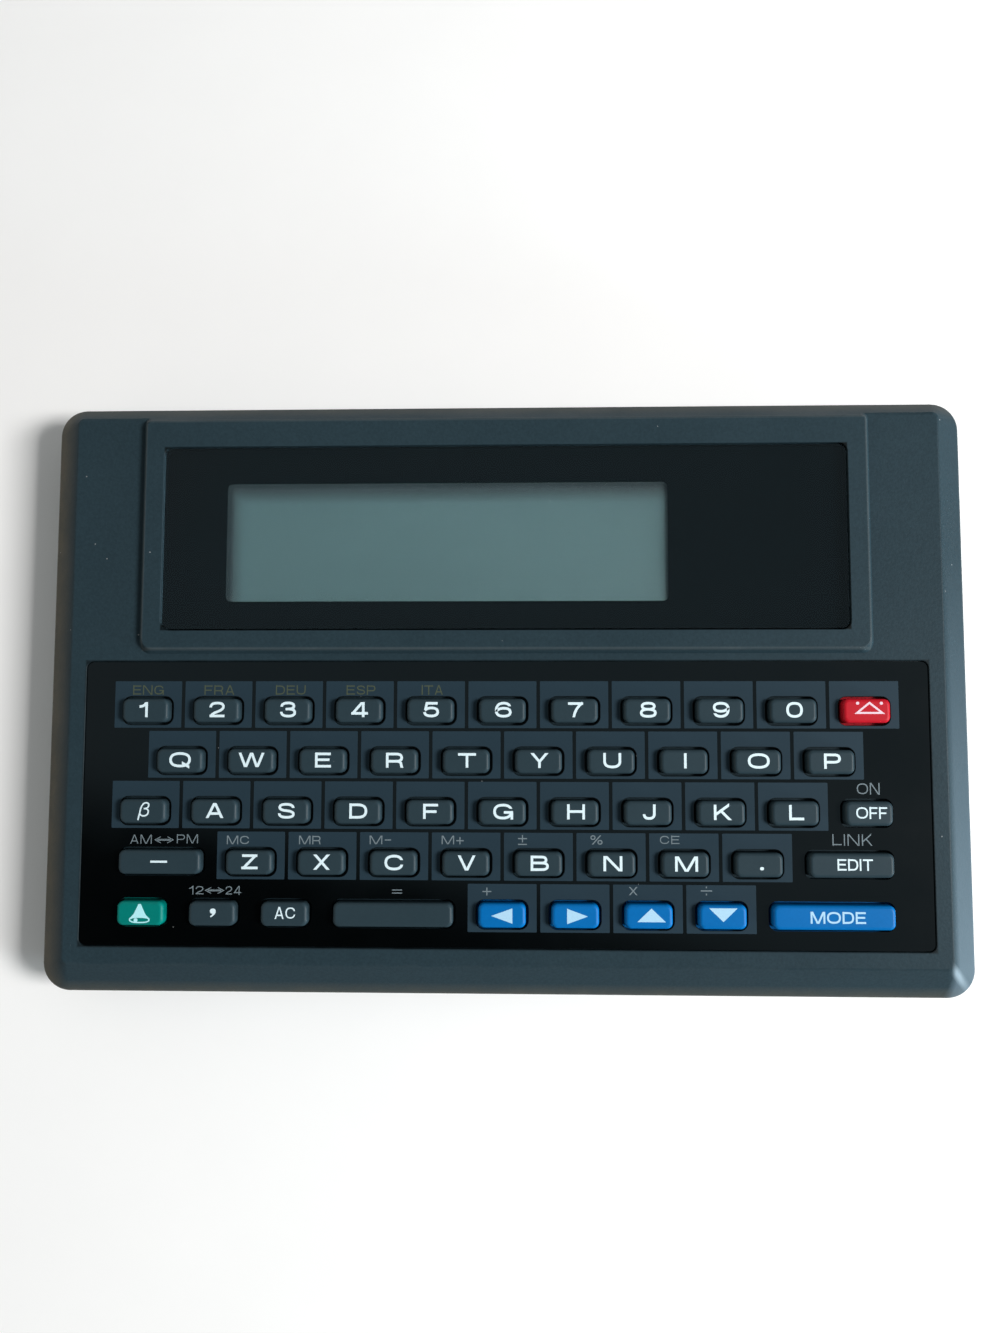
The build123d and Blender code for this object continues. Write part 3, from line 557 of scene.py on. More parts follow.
def printed_ink(name, colour, roughness=0.5):
    """Screen or pad ink: its cover is a little uneven, which shifts its colour, and it is matter than
    plastic."""
    material, tree, shader = new_material(name)
    grain = use_group(tree, grain_group, Grains_per_metre=7000.0)
    feed(shader, {
        "Base Color": mix(tree, grain["Height"], [0.88 * c for c in colour], [1.1 * c for c in colour]),
        "Roughness": vary(tree, grain["Clouds"], roughness - 0.04, roughness + 0.04),
        "Specular IOR Level": 0.08,
        "Normal": bump(tree, grain["Height"], 0.002),
    })
    return material


DOT = trace(loop(-1, -1, 1, 1))[:-1]
COMMA = [
    (0.10, 0.60), (0.50, 0.60, 1), (0.50, 0.18), (0.50, -0.22, 1), (-0.16, -0.60), (-0.26, -0.46),
    (0.02, -0.28, 1), (0.06, -0.08), (-0.30, -0.10, 1), (-0.30, 0.24), (-0.30, 0.60, 1), (0.10, 0.60),
]
ROOF = [(-1.72, -0.28), (1.72, -0.28), (0, 1.10), (-1.72, -0.28)]
BELL = [
    (-0.16, 1.30), (-0.42, 0.75, 1), (-0.72, 0.10), (-0.86, -0.20, 1), (-1.46, -0.72), (-0.90, -0.44, 1),
    (0, -0.44), (0.90, -0.44, 1), (1.46, -0.72), (0.86, -0.20, 1), (0.72, 0.10), (0.42, 0.75, 1),
    (0.16, 1.30),
]
ARROWS = {
    "left": [(-1.47, 0), (1.43, -1.03), (1.43, 1.03)],
    "right": [(-1.12, 1.03), (-1.12, -1.03), (1.72, 0)],
    "up": [(-1.60, -0.70), (2.28, -0.70), (0.34, 1.13)],
    "down": [(0.04, -0.62), (1.96, 1.22), (-1.88, 1.22)],
}


def icon(name, base):
    """An icon's parts about zero: solid outlines, and strokes for the roof, the rim and the dots."""
    top = base + INK_THICKNESS
    if name == "point":
        return [slab(DOT * (0.27, 0.22) + (0.34, -0.44), base, top)]
    if name == "comma":
        return [slab((trace(COMMA)[:-1] + (0.1, 0.15))[::-1], base, top)]
    if name == "translate":
        dots = [slab(DOT * (0.22, 0.20) + (0.35 + side * 1.61, 1.05), base, top) for side in (-1, 1)]
        return [ribbon(trace(ROOF) + (0.35, 0), 0.26, base, top), *dots]
    if name == "alarm":
        rim = DOT * (1.36, 0.36) + (0, -0.86)
        return [
            slab(trace(BELL), base, top), ribbon(np.vstack([rim, rim[:1]]), 0.17, base, top + 0.001),
            slab(DOT * (0.26, 0.26) + (-0.52, -0.90), base, top + 0.002),
        ]
    return [slab(np.array(ARROWS[name]), base, top)]


# The ink is thin, so a coloured key shows through and tints it.
LEGEND_COLOURS = {
    "slate": (0.66, 0.80, 0.86),
    "blue": (0.39, 0.62, 0.80),
    "red": (0.76, 0.60, 0.68),
    "green": (0.42, 0.79, 0.85),
}
legend_inks = {name: printed_ink(name + "_legend_ink", colour) for name, colour in LEGEND_COLOURS.items()}
for name in key_names:
    if name == "space":
        continue
    low, high = box_mm("key_" + name)
    middle, top = (low + high)[:2] / 2, high[2]
    if name in WORDS:
        text, width, height, *rest = WORDS[name]
        shift = rest[:2] or LEGEND_SHIFT
        stroke = rest[2] if len(rest) > 2 else LEGEND_STROKE
        points, faces = lettering(text, width, height, middle + shift, top, stroke)
    else:
        points, faces = join(icon(name, top))
        points = points + (*middle, 0)
    ink = legend_inks[COLOURED_KEYS.get(name, "slate")]
    add_piece("legend_" + name, points, faces, ink, body="key_" + name)


# ---------------------------------------------------------------- display
# Two plates of glass with the liquid crystal and its grey-green reflector film between them, and two strips
# of layered rubber that carry the front glass and join it to the board.
GLASS_THICKNESS, GLASS_CORNER = 0.9, 0.2
REAR_GLASS_SETBACK = 2.6
FILM_THICKNESS = 0.08
FRONT_GLUE, REAR_GLUE = 0.01, 0.005
STRIP_WIDTH, STRIP_CLEARANCE, STRIP_END, STRIP_CORNER = 1.9, 0.3, 2.8, 0.1
VIEW_WIDTH, VIEW_DEPTH, VIEW_RADIUS = 62.55, 16.9, 0.7


def rounded_outline(width, depth, radius, steps=5):
    """A rounded rectangle, anticlockwise about zero: each corner is a quarter turn about a point radius
    inside."""
    turn = np.linspace(0, np.pi / 2, steps + 1)
    angle = (np.arange(4)[:, None] * np.pi / 2 + turn).ravel()
    side_x = np.repeat([1, -1, -1, 1], steps + 1)
    side_y = np.repeat([1, 1, -1, -1], steps + 1)
    x = side_x * (width / 2 - radius) + radius * np.cos(angle)
    y = side_y * (depth / 2 - radius) + radius * np.sin(angle)
    return np.stack([x, y], axis=1)


def plate(width, depth, radius, low, high, x, y, edge=0.06):
    """A flat plate: its outline, drawn in by edge at bottom and top, is carried up its four heights and
    capped."""
    heights = [(low, edge), (low + edge, 0), (high - edge, 0), (high, edge)]
    outlines = [rounded_outline(width - 2 * inset, depth - 2 * inset, radius) for _, inset in heights]
    loops = [at_height(outline, z) + (x, y, 0) for outline, (z, _) in zip(outlines, heights)]
    count = len(loops[0])
    caps = [np.arange(count)[::-1], np.arange(count) + 3 * count]
    return np.concatenate(loops), [*skin(4, count), *caps]


def clear_material(name, tint, ior):
    """Clear sheet: glass to every ray but a lamp's, which passes straight through."""
    material, tree, shader = new_material(name)
    grain = use_group(tree, grain_group)
    feed(shader, {
        "Base Color": (*tint, 1.0),
        "Roughness": ramp(tree, grain["Clouds"], 0.4, 0.7, 0.0, 0.03),
        "Transmission Weight": 1.0,
        "IOR": ior,
    })
    through = put(tree, "BsdfTransparent", {"Color": (*tint, 1.0)})
    lamps = put(tree, "LightPath").outputs["Is Shadow Ray"]
    both = put(tree, "MixShader", {0: lamps, 1: shader.outputs[0], 2: through.outputs[0]})
    feed(tree.nodes["Material Output"], {"Surface": both.outputs[0]})
    return material


lcd_low, lcd_high = box_mm("lcd_panel")
lcd_x, lcd_y = (lcd_low[:2] + lcd_high[:2]) / 2
lcd_width, lcd_depth = (lcd_high - lcd_low)[:2]
rear_depth = lcd_depth - 2 * REAR_GLASS_SETBACK
front_z = lcd_high[2] - GLASS_THICKNESS
film_z = front_z - FILM_THICKNESS
rear_z = front_z - GLASS_THICKNESS
glass = clear_material("display_glass", (0.97, 1.0, 0.99), 1.52)
front_shape = plate(lcd_width, lcd_depth, GLASS_CORNER, front_z + FRONT_GLUE, lcd_high[2], lcd_x, lcd_y)
front_glass = add_piece("front_glass", *front_shape, glass)
rear_shape = plate(lcd_width, rear_depth, GLASS_CORNER, rear_z, film_z - REAR_GLUE, lcd_x, lcd_y)
rear_glass = add_piece("rear_glass", *rear_shape, glass)

# Painted shade: the film is darkened near the view's edges, where the mask's overhang shades it, from a set
# distance within the view's edge to one beyond it, all moved over towards the right and front, so that it
# lies deepest at the left and back.
SHADE_INSIDE, SHADE_OUTSIDE, SHADE_SHIFT = 1.2, 0.6, (0.75, -1.35)
border_shade_group, given, result = new_group("painted_border_shade", PLAN_BLOCK, ["Mask"])
beyond = beyond_block(border_shade_group, given)
feed(result, {"Mask": ramp(border_shade_group, beyond, -SHADE_INSIDE * MM, SHADE_OUTSIDE * MM)})

film_material, tree, shader = new_material("reflector_film")
grain = use_group(tree, grain_group, Grains_per_metre=9000.0)
colour = mix(tree, grain["Clouds"], (0.0272, 0.0530, 0.0575), (0.0296, 0.0565, 0.0610))
# Painted shade: the film is darkened towards the view's edges, as the mask's overhang shades it.
sealed = use_group(
    tree, border_shade_group, Centre_x=(lcd_x + SHADE_SHIFT[0]) * MM, Centre_y=(lcd_y + SHADE_SHIFT[1]) * MM,
    Half_width=VIEW_WIDTH / 2 * MM, Half_depth=VIEW_DEPTH / 2 * MM,
)
colour = mix(tree, sealed["Mask"], colour, (0.0070, 0.0123, 0.0140))
feed(shader, {
    "Base Color": dusted(
        tree, colour, (0.5, 0.55, 0.55), 0.6, Cells_per_metre=900.0, Share=0.12, Size=0.05
    ),
    "Roughness": vary(tree, grain["Height"], 0.4, 0.55),
    "Specular IOR Level": 0.2,
    "Normal": bump(tree, grain["Height"], 0.004),
})
film_shape = plate(lcd_width, rear_depth, GLASS_CORNER, film_z, front_z - REAR_GLUE, lcd_x, lcd_y, 0.01)
film = add_piece("reflector_film", *film_shape, film_material)

LAYERS_PER_METRE = 2600.0
CARBON_RUBBER, CLEAR_RUBBER = (0.02, 0.02, 0.02), (0.6, 0.45, 0.5)
strip_material, tree, shader = new_material("layered_rubber")
bands = {"Vector": object_place(tree), "Scale": LAYERS_PER_METRE, "Distortion": 0.0}
layers = put(tree, "TexWave", bands, bands_direction="X").outputs["Fac"]
feed(shader, {
    "Base Color": mix(tree, ramp(tree, layers, 0.45, 0.55), CARBON_RUBBER, CLEAR_RUBBER),
    "Roughness": 0.6,
})
strip_length = lcd_width - 2 * STRIP_END
strip_offset = rear_depth / 2 + STRIP_CLEARANCE + STRIP_WIDTH / 2
strips = []
for name, y in (("front_strip", lcd_y - strip_offset), ("rear_strip", lcd_y + strip_offset)):
    shape = plate(strip_length, STRIP_WIDTH, STRIP_CORNER, lcd_low[2], front_z, lcd_x, y)
    strips.append(add_piece(name, *shape, strip_material))
for piece in (front_glass, rear_glass, film, *strips):
    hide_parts("lcd_panel")


# ---------------------------------------------------------------- upper case
# Shell of the same slate ABS with wide bevels round a flat deck, and the display's raised platform. The
# deck's crease and the platform's edge are rubbed paler by hands and pockets, and the platform's edge is
# lightened further with painted light against the shade of its step. The left and back bevels carry a painted
# warm reflection, painted shade darkens the gaps round the fascia and the window, and the right bevel and its
# front mitre carry a painted highlight.
case_low, case_high = box_mm("top_case")
fascia_low, fascia_high = box_mm("key_fascia")
pane_low, pane_high = box_mm("display_window")
BEVEL_SIDE, BEVEL_FRONT, BEVEL_BACK = 4.75, 4.9, 2.75
DECK_SIDE_MARGIN, DECK_FRONT_MARGIN = 2.45, 2.5
PLATFORM_SIDE_MARGIN, PLATFORM_FRONT_MARGIN, PLATFORM_BACK_MARGIN = 2.9, 2.8, 4.0
# Rubbed paleness, a painted warm reflection, and painted shade for the gaps.
RUBBED, PAINTED_WARM_REFLECTION, PAINTED_GAP_SHADE = (0.085, 0.10, 0.105), (0.125, 0.110, 0.080), (0.002, 0.003, 0.003)


def wear_and_light_edge(amount, shade, line, low, high, beyond=(0, 0, 0, 0), broken=0.3):
    """A rectangle for moulded_plastic's worn edges and painted light and shade: a box's plan, grown beyond
    its left, right, front and back.
    """
    left, right = low[0] - beyond[0], high[0] + beyond[1]
    front, back = low[1] - beyond[2], high[1] + beyond[3]
    return amount, shade, {
        "Centre_x": (left + right) / 2 * MM, "Centre_y": (front + back) / 2 * MM,
        "Half_width": (right - left) / 2 * MM, "Half_depth": (back - front) / 2 * MM,
        "Line": line * MM, "Break": broken,
    }


deck_back = case_high[1] - BEVEL_BACK - fascia_high[1]
deck_margins = (DECK_SIDE_MARGIN, DECK_SIDE_MARGIN, DECK_FRONT_MARGIN, deck_back)
platform_margins = (PLATFORM_SIDE_MARGIN, PLATFORM_SIDE_MARGIN, PLATFORM_FRONT_MARGIN, PLATFORM_BACK_MARGIN)
# The painted warm reflections' outlines are grown past the sides that don't get them, so that little or none
# of their line shows.
upper_plastic = moulded_plastic(
    "upper_case_abs", SLATE, CASE_ROUGHNESS, CASE_GRAIN,
    wear_and_light_edges=(
        wear_and_light_edge(0.08, RUBBED, 0.3, fascia_low, fascia_high, deck_margins, broken=1.0),
        # The platform's edge: rubbed paler, and laid on strongly with few breaks, so that painted light lifts
        # the shade of its step.
        wear_and_light_edge(0.40, RUBBED, 0.30, pane_low, pane_high, platform_margins),
        # Painted warm reflection on the left bevel, and below it a weaker one on the back bevel.
        wear_and_light_edge(0.75, PAINTED_WARM_REFLECTION, 4.5, case_low, case_high, (0, 4.5, 2.4, 4.5)),
        wear_and_light_edge(0.30, PAINTED_WARM_REFLECTION, 2.7, case_low, case_high, (4.5, 4.5, 4.5, 0)),
        # Painted shade: dark lines in the gaps round the fascia and the window.
        wear_and_light_edge(0.90, PAINTED_GAP_SHADE, 0.4, fascia_low, fascia_high),
        wear_and_light_edge(1.0, PAINTED_GAP_SHADE, 0.28, pane_low, pane_high, broken=0.15),
    ),
)

# Painted highlight: a painted sheen grows down the right bevel and is strongest at the front. A painted
# glint follows the crease where the right bevel meets the front one, which lies where both are equally far
# out from the deck.
BEVEL_SHEEN_COLOUR, MITRE_GLINT_COLOUR = (0.130, 0.180, 0.220), (0.24, 0.31, 0.36)
BEVEL_SHEEN_SHARE, BEVEL_SHEEN_FRONT, BEVEL_SHEEN_BACK, BEVEL_SHEEN_FADE = 0.5, -38.0, 20.0, 1.2
MITRE_SHARE, MITRE_CORE, MITRE_EDGE = 0.8, 0.2, 1.1
MITRE_START, MITRE_FULL, MITRE_FADE, MITRE_END = -0.4, 0.6, 1.4, 4.0
tree = upper_plastic.node_tree
shader = tree.nodes["Principled BSDF"]
place = put(tree, "SeparateXYZ", {0: object_place(tree)}).outputs
out_x = calc(tree, "SUBTRACT", place[0], (case_high[0] - BEVEL_SIDE) * MM)
out_y = calc(tree, "SUBTRACT", (case_low[1] + BEVEL_FRONT) * MM, place[1])
bevel_sheen = ramp(tree, place[1], BEVEL_SHEEN_FRONT * MM, BEVEL_SHEEN_BACK * MM, BEVEL_SHEEN_SHARE, 0.0)
bevel_sheen = calc(tree, "MULTIPLY", ramp(tree, out_x, 0.0, BEVEL_SHEEN_FADE * MM), bevel_sheen)
off_crease = calc(tree, "ABSOLUTE", calc(tree, "SUBTRACT", out_x, out_y))
mitre_glint = ramp(tree, off_crease, MITRE_CORE * MM, MITRE_EDGE * MM, MITRE_SHARE, 0.0)
mitre_glint = calc(tree, "MULTIPLY", mitre_glint, ramp(tree, out_x, MITRE_START * MM, MITRE_FULL * MM))
mitre_glint = calc(tree, "MULTIPLY", mitre_glint, ramp(tree, out_x, MITRE_FADE * MM, MITRE_END * MM, 1.0, 0.0))
colour = shader.inputs["Base Color"].links[0].from_socket
# Painted highlight: lighter colour stands in for the sheen on the right bevel and the glint on its mitre.
feed(shader, {"Base Color": mix(tree, mitre_glint, mix(tree, bevel_sheen, colour, BEVEL_SHEEN_COLOUR), MITRE_GLINT_COLOUR)})
finish("top_case", upper_plastic)


# ---------------------------------------------------------------- key fascia
# Black acrylic plate stuck in the deck round the keys. It is glossy, with the cells of the key grid
# silk-screened on it in a lighter satin slate. Dust shows on it more than on the moulded case.
CELL_WIDTH, CELL_DEPTH, CELL_RADIUS, CELL_SHIFT = 9.5, 6.55, 0.12, 0.87
HOLE_WIDTH, HOLE_DEPTH, HOLE_RADIUS = 7.34, 4.14, 1.25
UNFRAMED = ["power", "minus", "edit", "alarm", "comma", "all_clear", "space", "mode"]

fascia_material, tree, shader = new_material("black_fascia")
grain = use_group(tree, grain_group, Grains_per_metre=2500.0)
colour = mix(tree, grain["Clouds"], (0.0004, 0.0007, 0.0008), (0.0006, 0.0010, 0.0012))
feed(shader, {
    "Base Color": dusted(
        tree, colour, (0.5, 0.52, 0.53), 0.5, Cells_per_metre=700.0, Share=0.12, Size=0.05
    ),
    "Roughness": vary(tree, grain["Clouds"], 0.10, 0.15),
    "Normal": bump(tree, grain["Height"], 0.0006),
})
finish("key_fascia", fascia_material)

base, top = fascia_high[2], fascia_high[2] + INK_THICKNESS
cells = []
for name in key_names:
    if name in UNFRAMED:
        continue
    low, high = box_mm("key_" + name)
    middle = (low + high)[:2] / 2
    outer = rounded_outline(CELL_WIDTH, CELL_DEPTH, CELL_RADIUS) + middle + (0, CELL_SHIFT)
    inner = rounded_outline(HOLE_WIDTH, HOLE_DEPTH, HOLE_RADIUS) + middle
    profile = [(outer, base), (outer, top), (inner, top), (inner, base)]
    loops = [at_height(outline, height) for outline, height in profile]
    cells.append((np.concatenate(loops), skin(4, len(outer), close_rows=True)))
add_piece("cell_prints", *join(cells), printed_ink("slate_ink", (0.0195, 0.0375, 0.0525), 0.42))


# ---------------------------------------------------------------- second functions
# Small prints over the keys, silk-screened on the fascia and its cells: the languages in dull olive, the
# rest in grey.
SMALL_STROKE = 0.15
LANGUAGES = [
    # text, middle from the fascia's own middle, width, height; then, where it is finer, its stroke
    ("ENG", -50.04, 15.76, 4.40, 1.36), ("FRA", -39.92, 15.76, 4.30, 1.36),
    ("DEU", -29.80, 15.76, 4.25, 1.36), ("ESP", -19.87, 15.76, 4.10, 1.36),
    ("ITA", -9.84, 15.77, 3.00, 1.36),
]
FUNCTIONS = [
    ("MC", -36.85, -5.16, 3.17, 1.19), ("MR", -26.76, -5.12, 3.08, 1.18), ("M-", -16.94, -5.07, 3.01, 1.18),
    ("M+", -6.86, -5.03, 3.13, 1.18), ("_", 2.80, -4.99, 1.24, 1.36), ("%", 13.01, -4.94, 1.64, 1.25),
    ("CE", 23.05, -4.89, 2.71, 1.17, 0.13), ("+", -2.11, -11.94, 1.34, 1.28),
    ("x", 18.00, -11.87, 1.12, 1.12), ("/", 27.99, -11.79, 1.55, 1.20),
    ("AM", -50.52, -5.12, 3.09, 1.25, 0.12), ("~", -47.26, -5.19, 2.73, 0.96, 0.10),
    ("PM", -43.97, -5.03, 3.03, 1.25, 0.12), ("12", -42.55, -12.10, 2.07, 1.20, 0.12),
    ("~", -40.00, -12.12, 2.73, 0.92, 0.10), ("24", -37.37, -12.10, 2.23, 1.20, 0.12),
    ("=", -14.54, -12.12, 1.40, 0.95, 0.13), ("ON", 50.28, 2.19, 3.13, 1.60),
    ("LINK", 47.97, -4.79, 5.52, 1.55),
]
fascia_middle = (fascia_low + fascia_high)[:2] / 2
for name, prints, ink in (
    ("language_prints", LANGUAGES, printed_ink("olive_ink", (0.071, 0.088, 0.057))),
    ("function_prints", FUNCTIONS, printed_ink("grey_ink", (0.17, 0.215, 0.24))),
):
    words = [
        lettering(text, width, height, (x, y) + fascia_middle, top, *(finer or [SMALL_STROKE]))
        for text, x, y, width, height, *finer in prints
    ]
    add_piece(name, *join(words), ink)


# ---------------------------------------------------------------- display window
# Clear acrylic pane glued in the platform. A black mask is printed on its underside and round its edge, so
# that the display shows only through the mask's rounded opening.
MASK_INSET, MASK_THICKNESS, MASK_RADIUS, EDGE_INK = 0.01, 0.02, 1.1, 0.06
finish("display_window", clear_material("window_acrylic", (1.0, 1.0, 1.0), 1.49))

mask_material, tree, shader = new_material("mask_ink")
grain = use_group(tree, grain_group)
feed(shader, {
    "Base Color": mix(tree, grain["Clouds"], (0.0006, 0.0014, 0.0018), (0.0010, 0.0020, 0.0026)),
    "Roughness": 0.6,
    "Specular IOR Level": 0.0,
})
pane_middle = (pane_low + pane_high)[:2] / 2
opening = rounded_outline(VIEW_WIDTH, VIEW_DEPTH, VIEW_RADIUS) + (lcd_x, lcd_y)
outer, inner = (
    rounded_outline(*((pane_high - pane_low)[:2] - 2 * inset), MASK_RADIUS - inset) + pane_middle
    for inset in (MASK_INSET, MASK_INSET + EDGE_INK)
)
base, rim = pane_low[2] + MASK_INSET, pane_high[2] - MASK_INSET
top = base + MASK_THICKNESS
mask_profile = [(outer, base), (outer, rim), (inner, rim), (inner, top), (opening, top), (opening, base)]
loops = [at_height(outline, height) for outline, height in mask_profile]
mask = add_piece("window_mask", np.concatenate(loops), skin(6, len(outer), close_rows=True), mask_material)
# The pane lets lamps pass straight through it, and a shadow of the mask would lie askew on the display.
mask.visible_shadow = False


# ---------------------------------------------------------------- screws
# Six self-tapping screws of zinc-plated steel, in from below. Each has a cold-formed pan head with a cross
# recess, and a rolled thread that bites into its boss under the deck.
SCREW_INSET_X, SCREW_INSET_Y = 7.2, 6.5
HEAD_RADIUS, HEAD_HEIGHT, HEAD_SEAT, HEAD_CROWN = 1.9, 1.45, 2.2, 0.35
RECESS_HALF_WIDTH, RECESS_LENGTH, RECESS_DEPTH, RECESS_WALL, RECESS_END = 0.26, 1.15, 0.9, 0.10, 0.30
CORE_RADIUS, THREAD_RADIUS, THREAD_PITCH, THREAD_SLOPE = 0.65, 1.0, 0.8, 2.4
SCREW_TIP, TIP_TAPER, TIP_SHARE, BARE_NECK, SHANK_OVERLAP = 9.8, 1.6, 0.12, 0.6, 0.2


def pan_head(cells=30):
    """A screw's head from below. A square grid u, v is pressed into a disc, x = u sqrt(1 - v^2 / 2) and the
    same for y. Its height rises by the crown times r^4 to the rim, and by the recess's depth where the
    smaller of |x| and |y| is under its half width and the larger under its length."""
    u, v = np.meshgrid(np.linspace(-1, 1, cells + 1), np.linspace(-1, 1, cells + 1), indexing="ij")
    x, y = u * np.sqrt(1 - v ** 2 / 2), v * np.sqrt(1 - u ** 2 / 2)
    narrow, wide = np.minimum(abs(x), abs(y)) * HEAD_RADIUS, np.maximum(abs(x), abs(y)) * HEAD_RADIUS
    recess = np.clip((RECESS_HALF_WIDTH - narrow) / RECESS_WALL, 0, 1)
    recess *= np.clip((RECESS_LENGTH - wide) / RECESS_END, 0, 1)
    height = HEAD_SEAT - HEAD_HEIGHT + HEAD_CROWN * (x ** 2 + y ** 2) ** 2 + RECESS_DEPTH * recess
    face = np.column_stack([x.ravel() * HEAD_RADIUS, y.ravel() * HEAD_RADIUS, height.ravel()])
    index = np.arange((cells + 1) ** 2).reshape(cells + 1, cells + 1)
    border = np.concatenate([index[:-1, 0], index[-1, :-1], index[:0:-1, -1], index[0, :0:-1]])
    seat = face[border] * (1, 1, 0) + (0, 0, HEAD_SEAT)
    above = np.arange(len(border)) + len(face)
    walls = np.stack([border, np.roll(border, -1), np.roll(above, -1), above], axis=1)
    return np.concatenate([face, seat]), [*skin(cells + 1, cells + 1, close_columns=False), *walls, above]


def threaded_shank(around=20, steps_per_turn=6):
    """A screw's shank: rings up its length. A point at height z and angle a has radius core + (thread - core)
    (1 - slope |w|) or core, the larger, where w is z / pitch - a / 2 pi less its nearest whole number. The
    last stretch tapers to a point."""
    z = np.arange(HEAD_SEAT - SHANK_OVERLAP, SCREW_TIP + 0.01, THREAD_PITCH / steps_per_turn)
    angle = np.linspace(0, 2 * np.pi, around, endpoint=False)
    wave = z[:, None] / THREAD_PITCH - angle / (2 * np.pi)
    crest = np.clip(1 - THREAD_SLOPE * abs(wave - np.round(wave)), 0, 1)
    crest *= z[:, None] > HEAD_SEAT + BARE_NECK
    taper = np.clip((SCREW_TIP - z) / TIP_TAPER, TIP_SHARE, 1)[:, None]
    radius = (CORE_RADIUS + (THREAD_RADIUS - CORE_RADIUS) * crest) * taper
    rings = [radius * np.cos(angle), radius * np.sin(angle), np.broadcast_to(z[:, None], radius.shape)]
    caps = [np.arange(around)[::-1], np.arange(around) + around * (len(z) - 1)]
    return np.stack(rings, axis=-1).reshape(-1, 3), [*skin(len(z), around), *caps]


zinc_material, tree, shader = new_material("zinc_plate")
grain = use_group(tree, grain_group, Grains_per_metre=9000.0)
feed(shader, {
    "Base Color": mix(tree, grain["Clouds"], (0.50, 0.50, 0.49), (0.62, 0.62, 0.60)),
    "Metallic": 1.0,
    "Roughness": vary(tree, grain["Height"], 0.28, 0.42),
    "Normal": bump(tree, grain["Height"], 0.004),
})
screw_points, screw_faces = join([pan_head(), threaded_shank()])
screw_y = (case_low[1] + SCREW_INSET_Y, pane_low[1] - PLATFORM_FRONT_MARGIN, case_high[1] - SCREW_INSET_Y)
screw_places = [(side * (case_high[0] - SCREW_INSET_X), y) for side in (-1, 1) for y in screw_y]
for number, place in enumerate(screw_places, start=1):
    add_piece(f"screw_{number}", screw_points + (*place, 0), screw_faces, zinc_material)


# ---------------------------------------------------------------- battery cells
# Two coin cells of nickel-plated steel: a can and a smaller cap, with the dark ring of the seal between
# them. Their faces are turned, which leaves fine rings.
CAP_INSET, SEAL_RING, CAP_HEIGHT = 1.2, 0.5, 1.0
RINGS_PER_METRE = 9000.0
NICKEL, SEAL_BLACK = [(0.60, 0.59, 0.56), (0.70, 0.69, 0.66)], (0.02, 0.02, 0.02)
cells_low, cells_high = box_mm("battery_cells")
cell_radius = (cells_high - cells_low)[1] / 2
cap_radius = cell_radius - CAP_INSET
cell_x = cells_high[0] - cell_radius
cell_y = (cells_high + cells_low)[1] / 2
steel_material, tree, shader = new_material("nickel_steel")
place = put(tree, "SeparateXYZ", {0: object_place(tree)}).outputs
off_x = calc(tree, "SUBTRACT", calc(tree, "ABSOLUTE", place[0]), cell_x * MM)
off_y = calc(tree, "SUBTRACT", place[1], cell_y * MM)
squares = [calc(tree, "POWER", off, 2.0) for off in (off_x, off_y)]
radius = calc(tree, "SQRT", calc(tree, "ADD", *squares))
along_radius = put(tree, "CombineXYZ", {0: radius}).outputs[0]
rings = put(tree, "TexNoise", {"Vector": along_radius, "Scale": RINGS_PER_METRE, "Detail": 2.0}).outputs[0]
sealed = calc(
    tree, "MULTIPLY", calc(tree, "GREATER_THAN", radius, (cap_radius + 0.01) * MM),
    calc(tree, "LESS_THAN", radius, (cap_radius + SEAL_RING) * MM),
)
on_cap = calc(tree, "GREATER_THAN", place[2], (cells_high[2] - CAP_HEIGHT) * MM)
sealed = calc(tree, "MULTIPLY", sealed, on_cap)
grain = use_group(tree, grain_group)
feed(shader, {
    "Base Color": mix(tree, sealed, mix(tree, grain["Clouds"], *NICKEL), SEAL_BLACK),
    "Metallic": calc(tree, "SUBTRACT", 1.0, sealed),
    "Roughness": vary(tree, rings, 0.22, 0.4),
    "Normal": bump(tree, rings, 0.002),
})
finish("battery_cells", steel_material)


# ---------------------------------------------------------------- battery cover
# Flat slate cover that slides out of the back of the lower case, of the same moulded and grained ABS, with
# grip lines and an arrow for the thumb.
finish("battery_cover", lower_plastic)


# ---------------------------------------------------------------- table, light and camera
# A plain white table top under soft studio light: a pale room that glows low on the left and is dark where
# the person with the camera leans over the front, and a soft lamp up on the right. The camera looks straight
# down from close by.
TABLE_HALF = 1500.0
table_material, tree, shader = new_material("white_table")
grain = use_group(tree, grain_group, Grains_per_metre=900.0)
feed(shader, {
    "Base Color": mix(tree, grain["Clouds"], (0.90, 0.90, 0.90), (0.93, 0.93, 0.93)),
    "Roughness": 0.6,
})
corners = np.array([(-1, -1, 0), (1, -1, 0), (1, 1, 0), (-1, 1, 0)]) * TABLE_HALF
mesh = bpy.data.meshes.new("table")
mesh.from_pydata((corners * MM).tolist(), [], [(0, 1, 2, 3)])
mesh.materials.append(table_material)
table = bpy.data.objects.new("table", mesh)
bpy.context.scene.collection.objects.link(table)

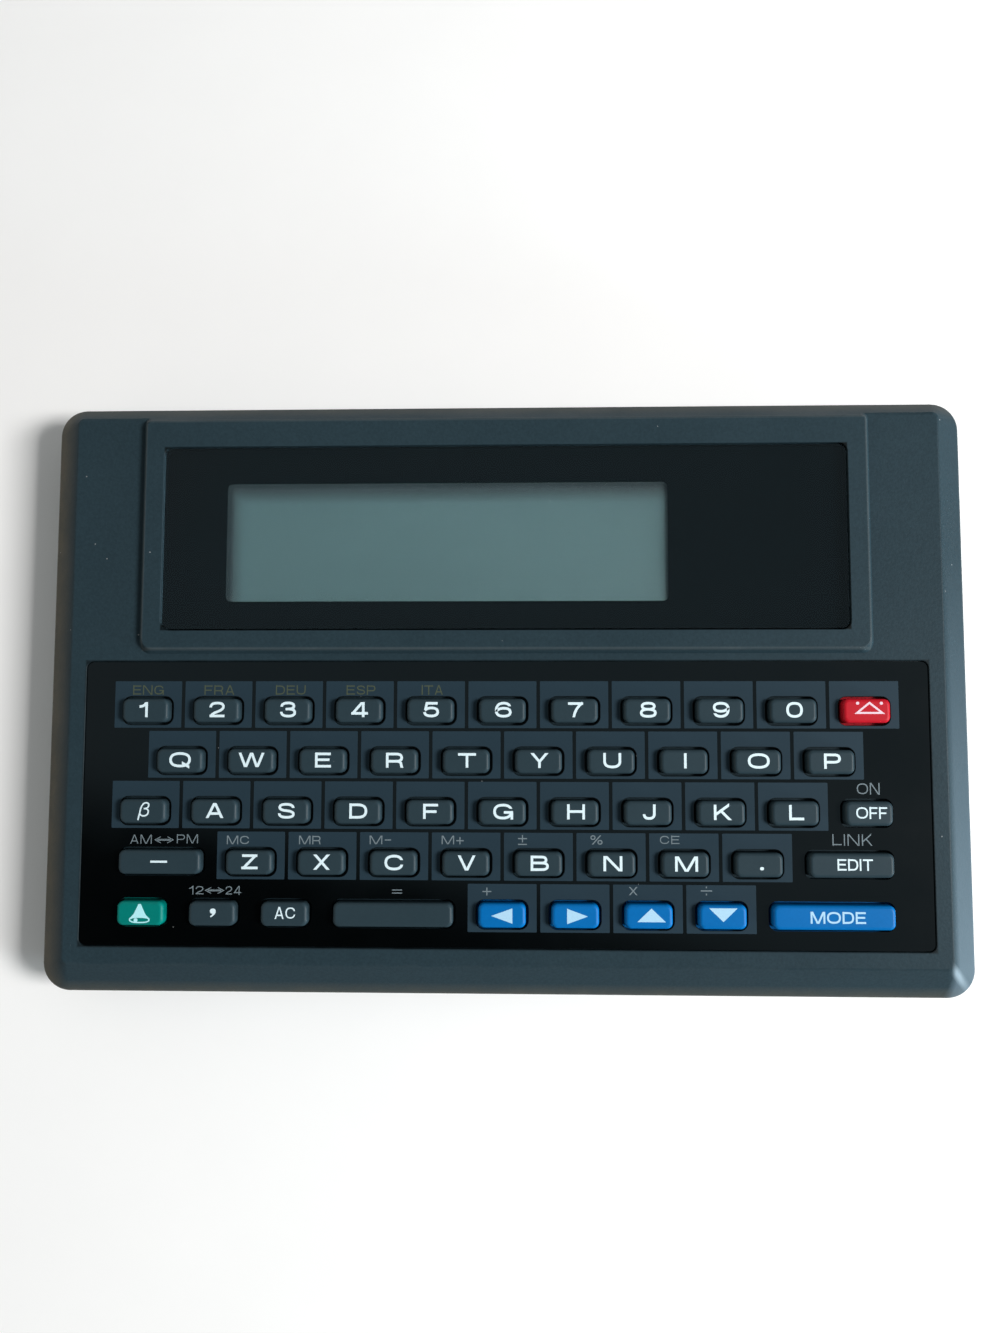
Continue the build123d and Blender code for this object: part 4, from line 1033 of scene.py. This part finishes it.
# The room's brightness is worked out from a direction's side, depth and height, each from -1 to 1.
WARM, COOL, CEILING = (1.0, 0.93, 0.84), (0.97, 0.98, 1.0), (0.60, 0.87, 1.0)
PERSON_SLANT, PERSON_SHADE = 0.26, 0.97
world = bpy.data.worlds.new("pale_room")
bpy.context.scene.world = world
world.use_nodes = True
tree = world.node_tree
direction = put(tree, "TexCoord").outputs["Generated"]
side, depth, height = put(tree, "SeparateXYZ", {0: direction}).outputs
room = ramp(tree, height, 0.25, 0.90, 0.45, 0.32)
room = calc(tree, "MULTIPLY", room, ramp(tree, depth, -0.8, 0.0, 0.55, 1.0))
slanted = calc(tree, "MULTIPLY_ADD", side, PERSON_SLANT, depth)
leaning_over = ramp(tree, slanted, -0.170, -0.150, 1.0, 0.0)
leaning_over = calc(tree, "MULTIPLY", leaning_over, ramp(tree, height, 0.72, 0.82))
room = calc(tree, "MULTIPLY", room, calc(tree, "MULTIPLY_ADD", leaning_over, -PERSON_SHADE, 1.0))
glow = ramp(tree, height, 0.0, 0.35, 2.2, 0.0)
glow = calc(tree, "MULTIPLY", glow, ramp(tree, side, -0.85, -0.25, 1.0, 0.0))
low_tint = mix(tree, ramp(tree, side, -0.5, 0.5), WARM, COOL)
feed(tree.nodes["Background"], {
    "Color": mix(tree, ramp(tree, height, 0.78, 0.93), low_tint, CEILING),
    "Strength": calc(tree, "ADD", room, glow),
})


def add_lamp(name, place, aim, size, power, colour):
    """A square soft lamp at place that faces aim, both in millimetres."""
    lamp = bpy.data.lights.new(name, "AREA")
    lamp.size, lamp.energy, lamp.color = size * MM, power, colour
    holder = bpy.data.objects.new(name, lamp)
    bpy.context.scene.collection.objects.link(holder)
    holder.location = np.array(place) * MM
    away = np.array(place, float) - aim
    away /= np.linalg.norm(away)
    holder.rotation_euler = (np.arccos(away[2]), 0.0, np.arctan2(away[0], -away[1]))


add_lamp("key_lamp", (633, -60, 583), (0, 0, 0), 230, 9.0, (1.0, 0.985, 0.97))
add_lamp("low_lamp", (420, -170, 60), (60, -40, 8), 90, 1.5, (0.80, 0.95, 1.0))

CAMERA_PLACE, CAMERA_TURN = (3.82, -6.51, 151.1), (4.216, 1.700, 0.090)  # millimetres, degrees
camera = bpy.data.cameras.new("camera")
camera.lens, camera.sensor_width = 27.03, 36.0
camera_object = bpy.data.objects.new("camera", camera)
bpy.context.scene.collection.objects.link(camera_object)
camera_object.location = np.array(CAMERA_PLACE) * MM
camera_object.rotation_euler = np.radians(CAMERA_TURN)
bpy.context.scene.camera = camera_object
bpy.context.scene.view_settings.view_transform = "Standard"
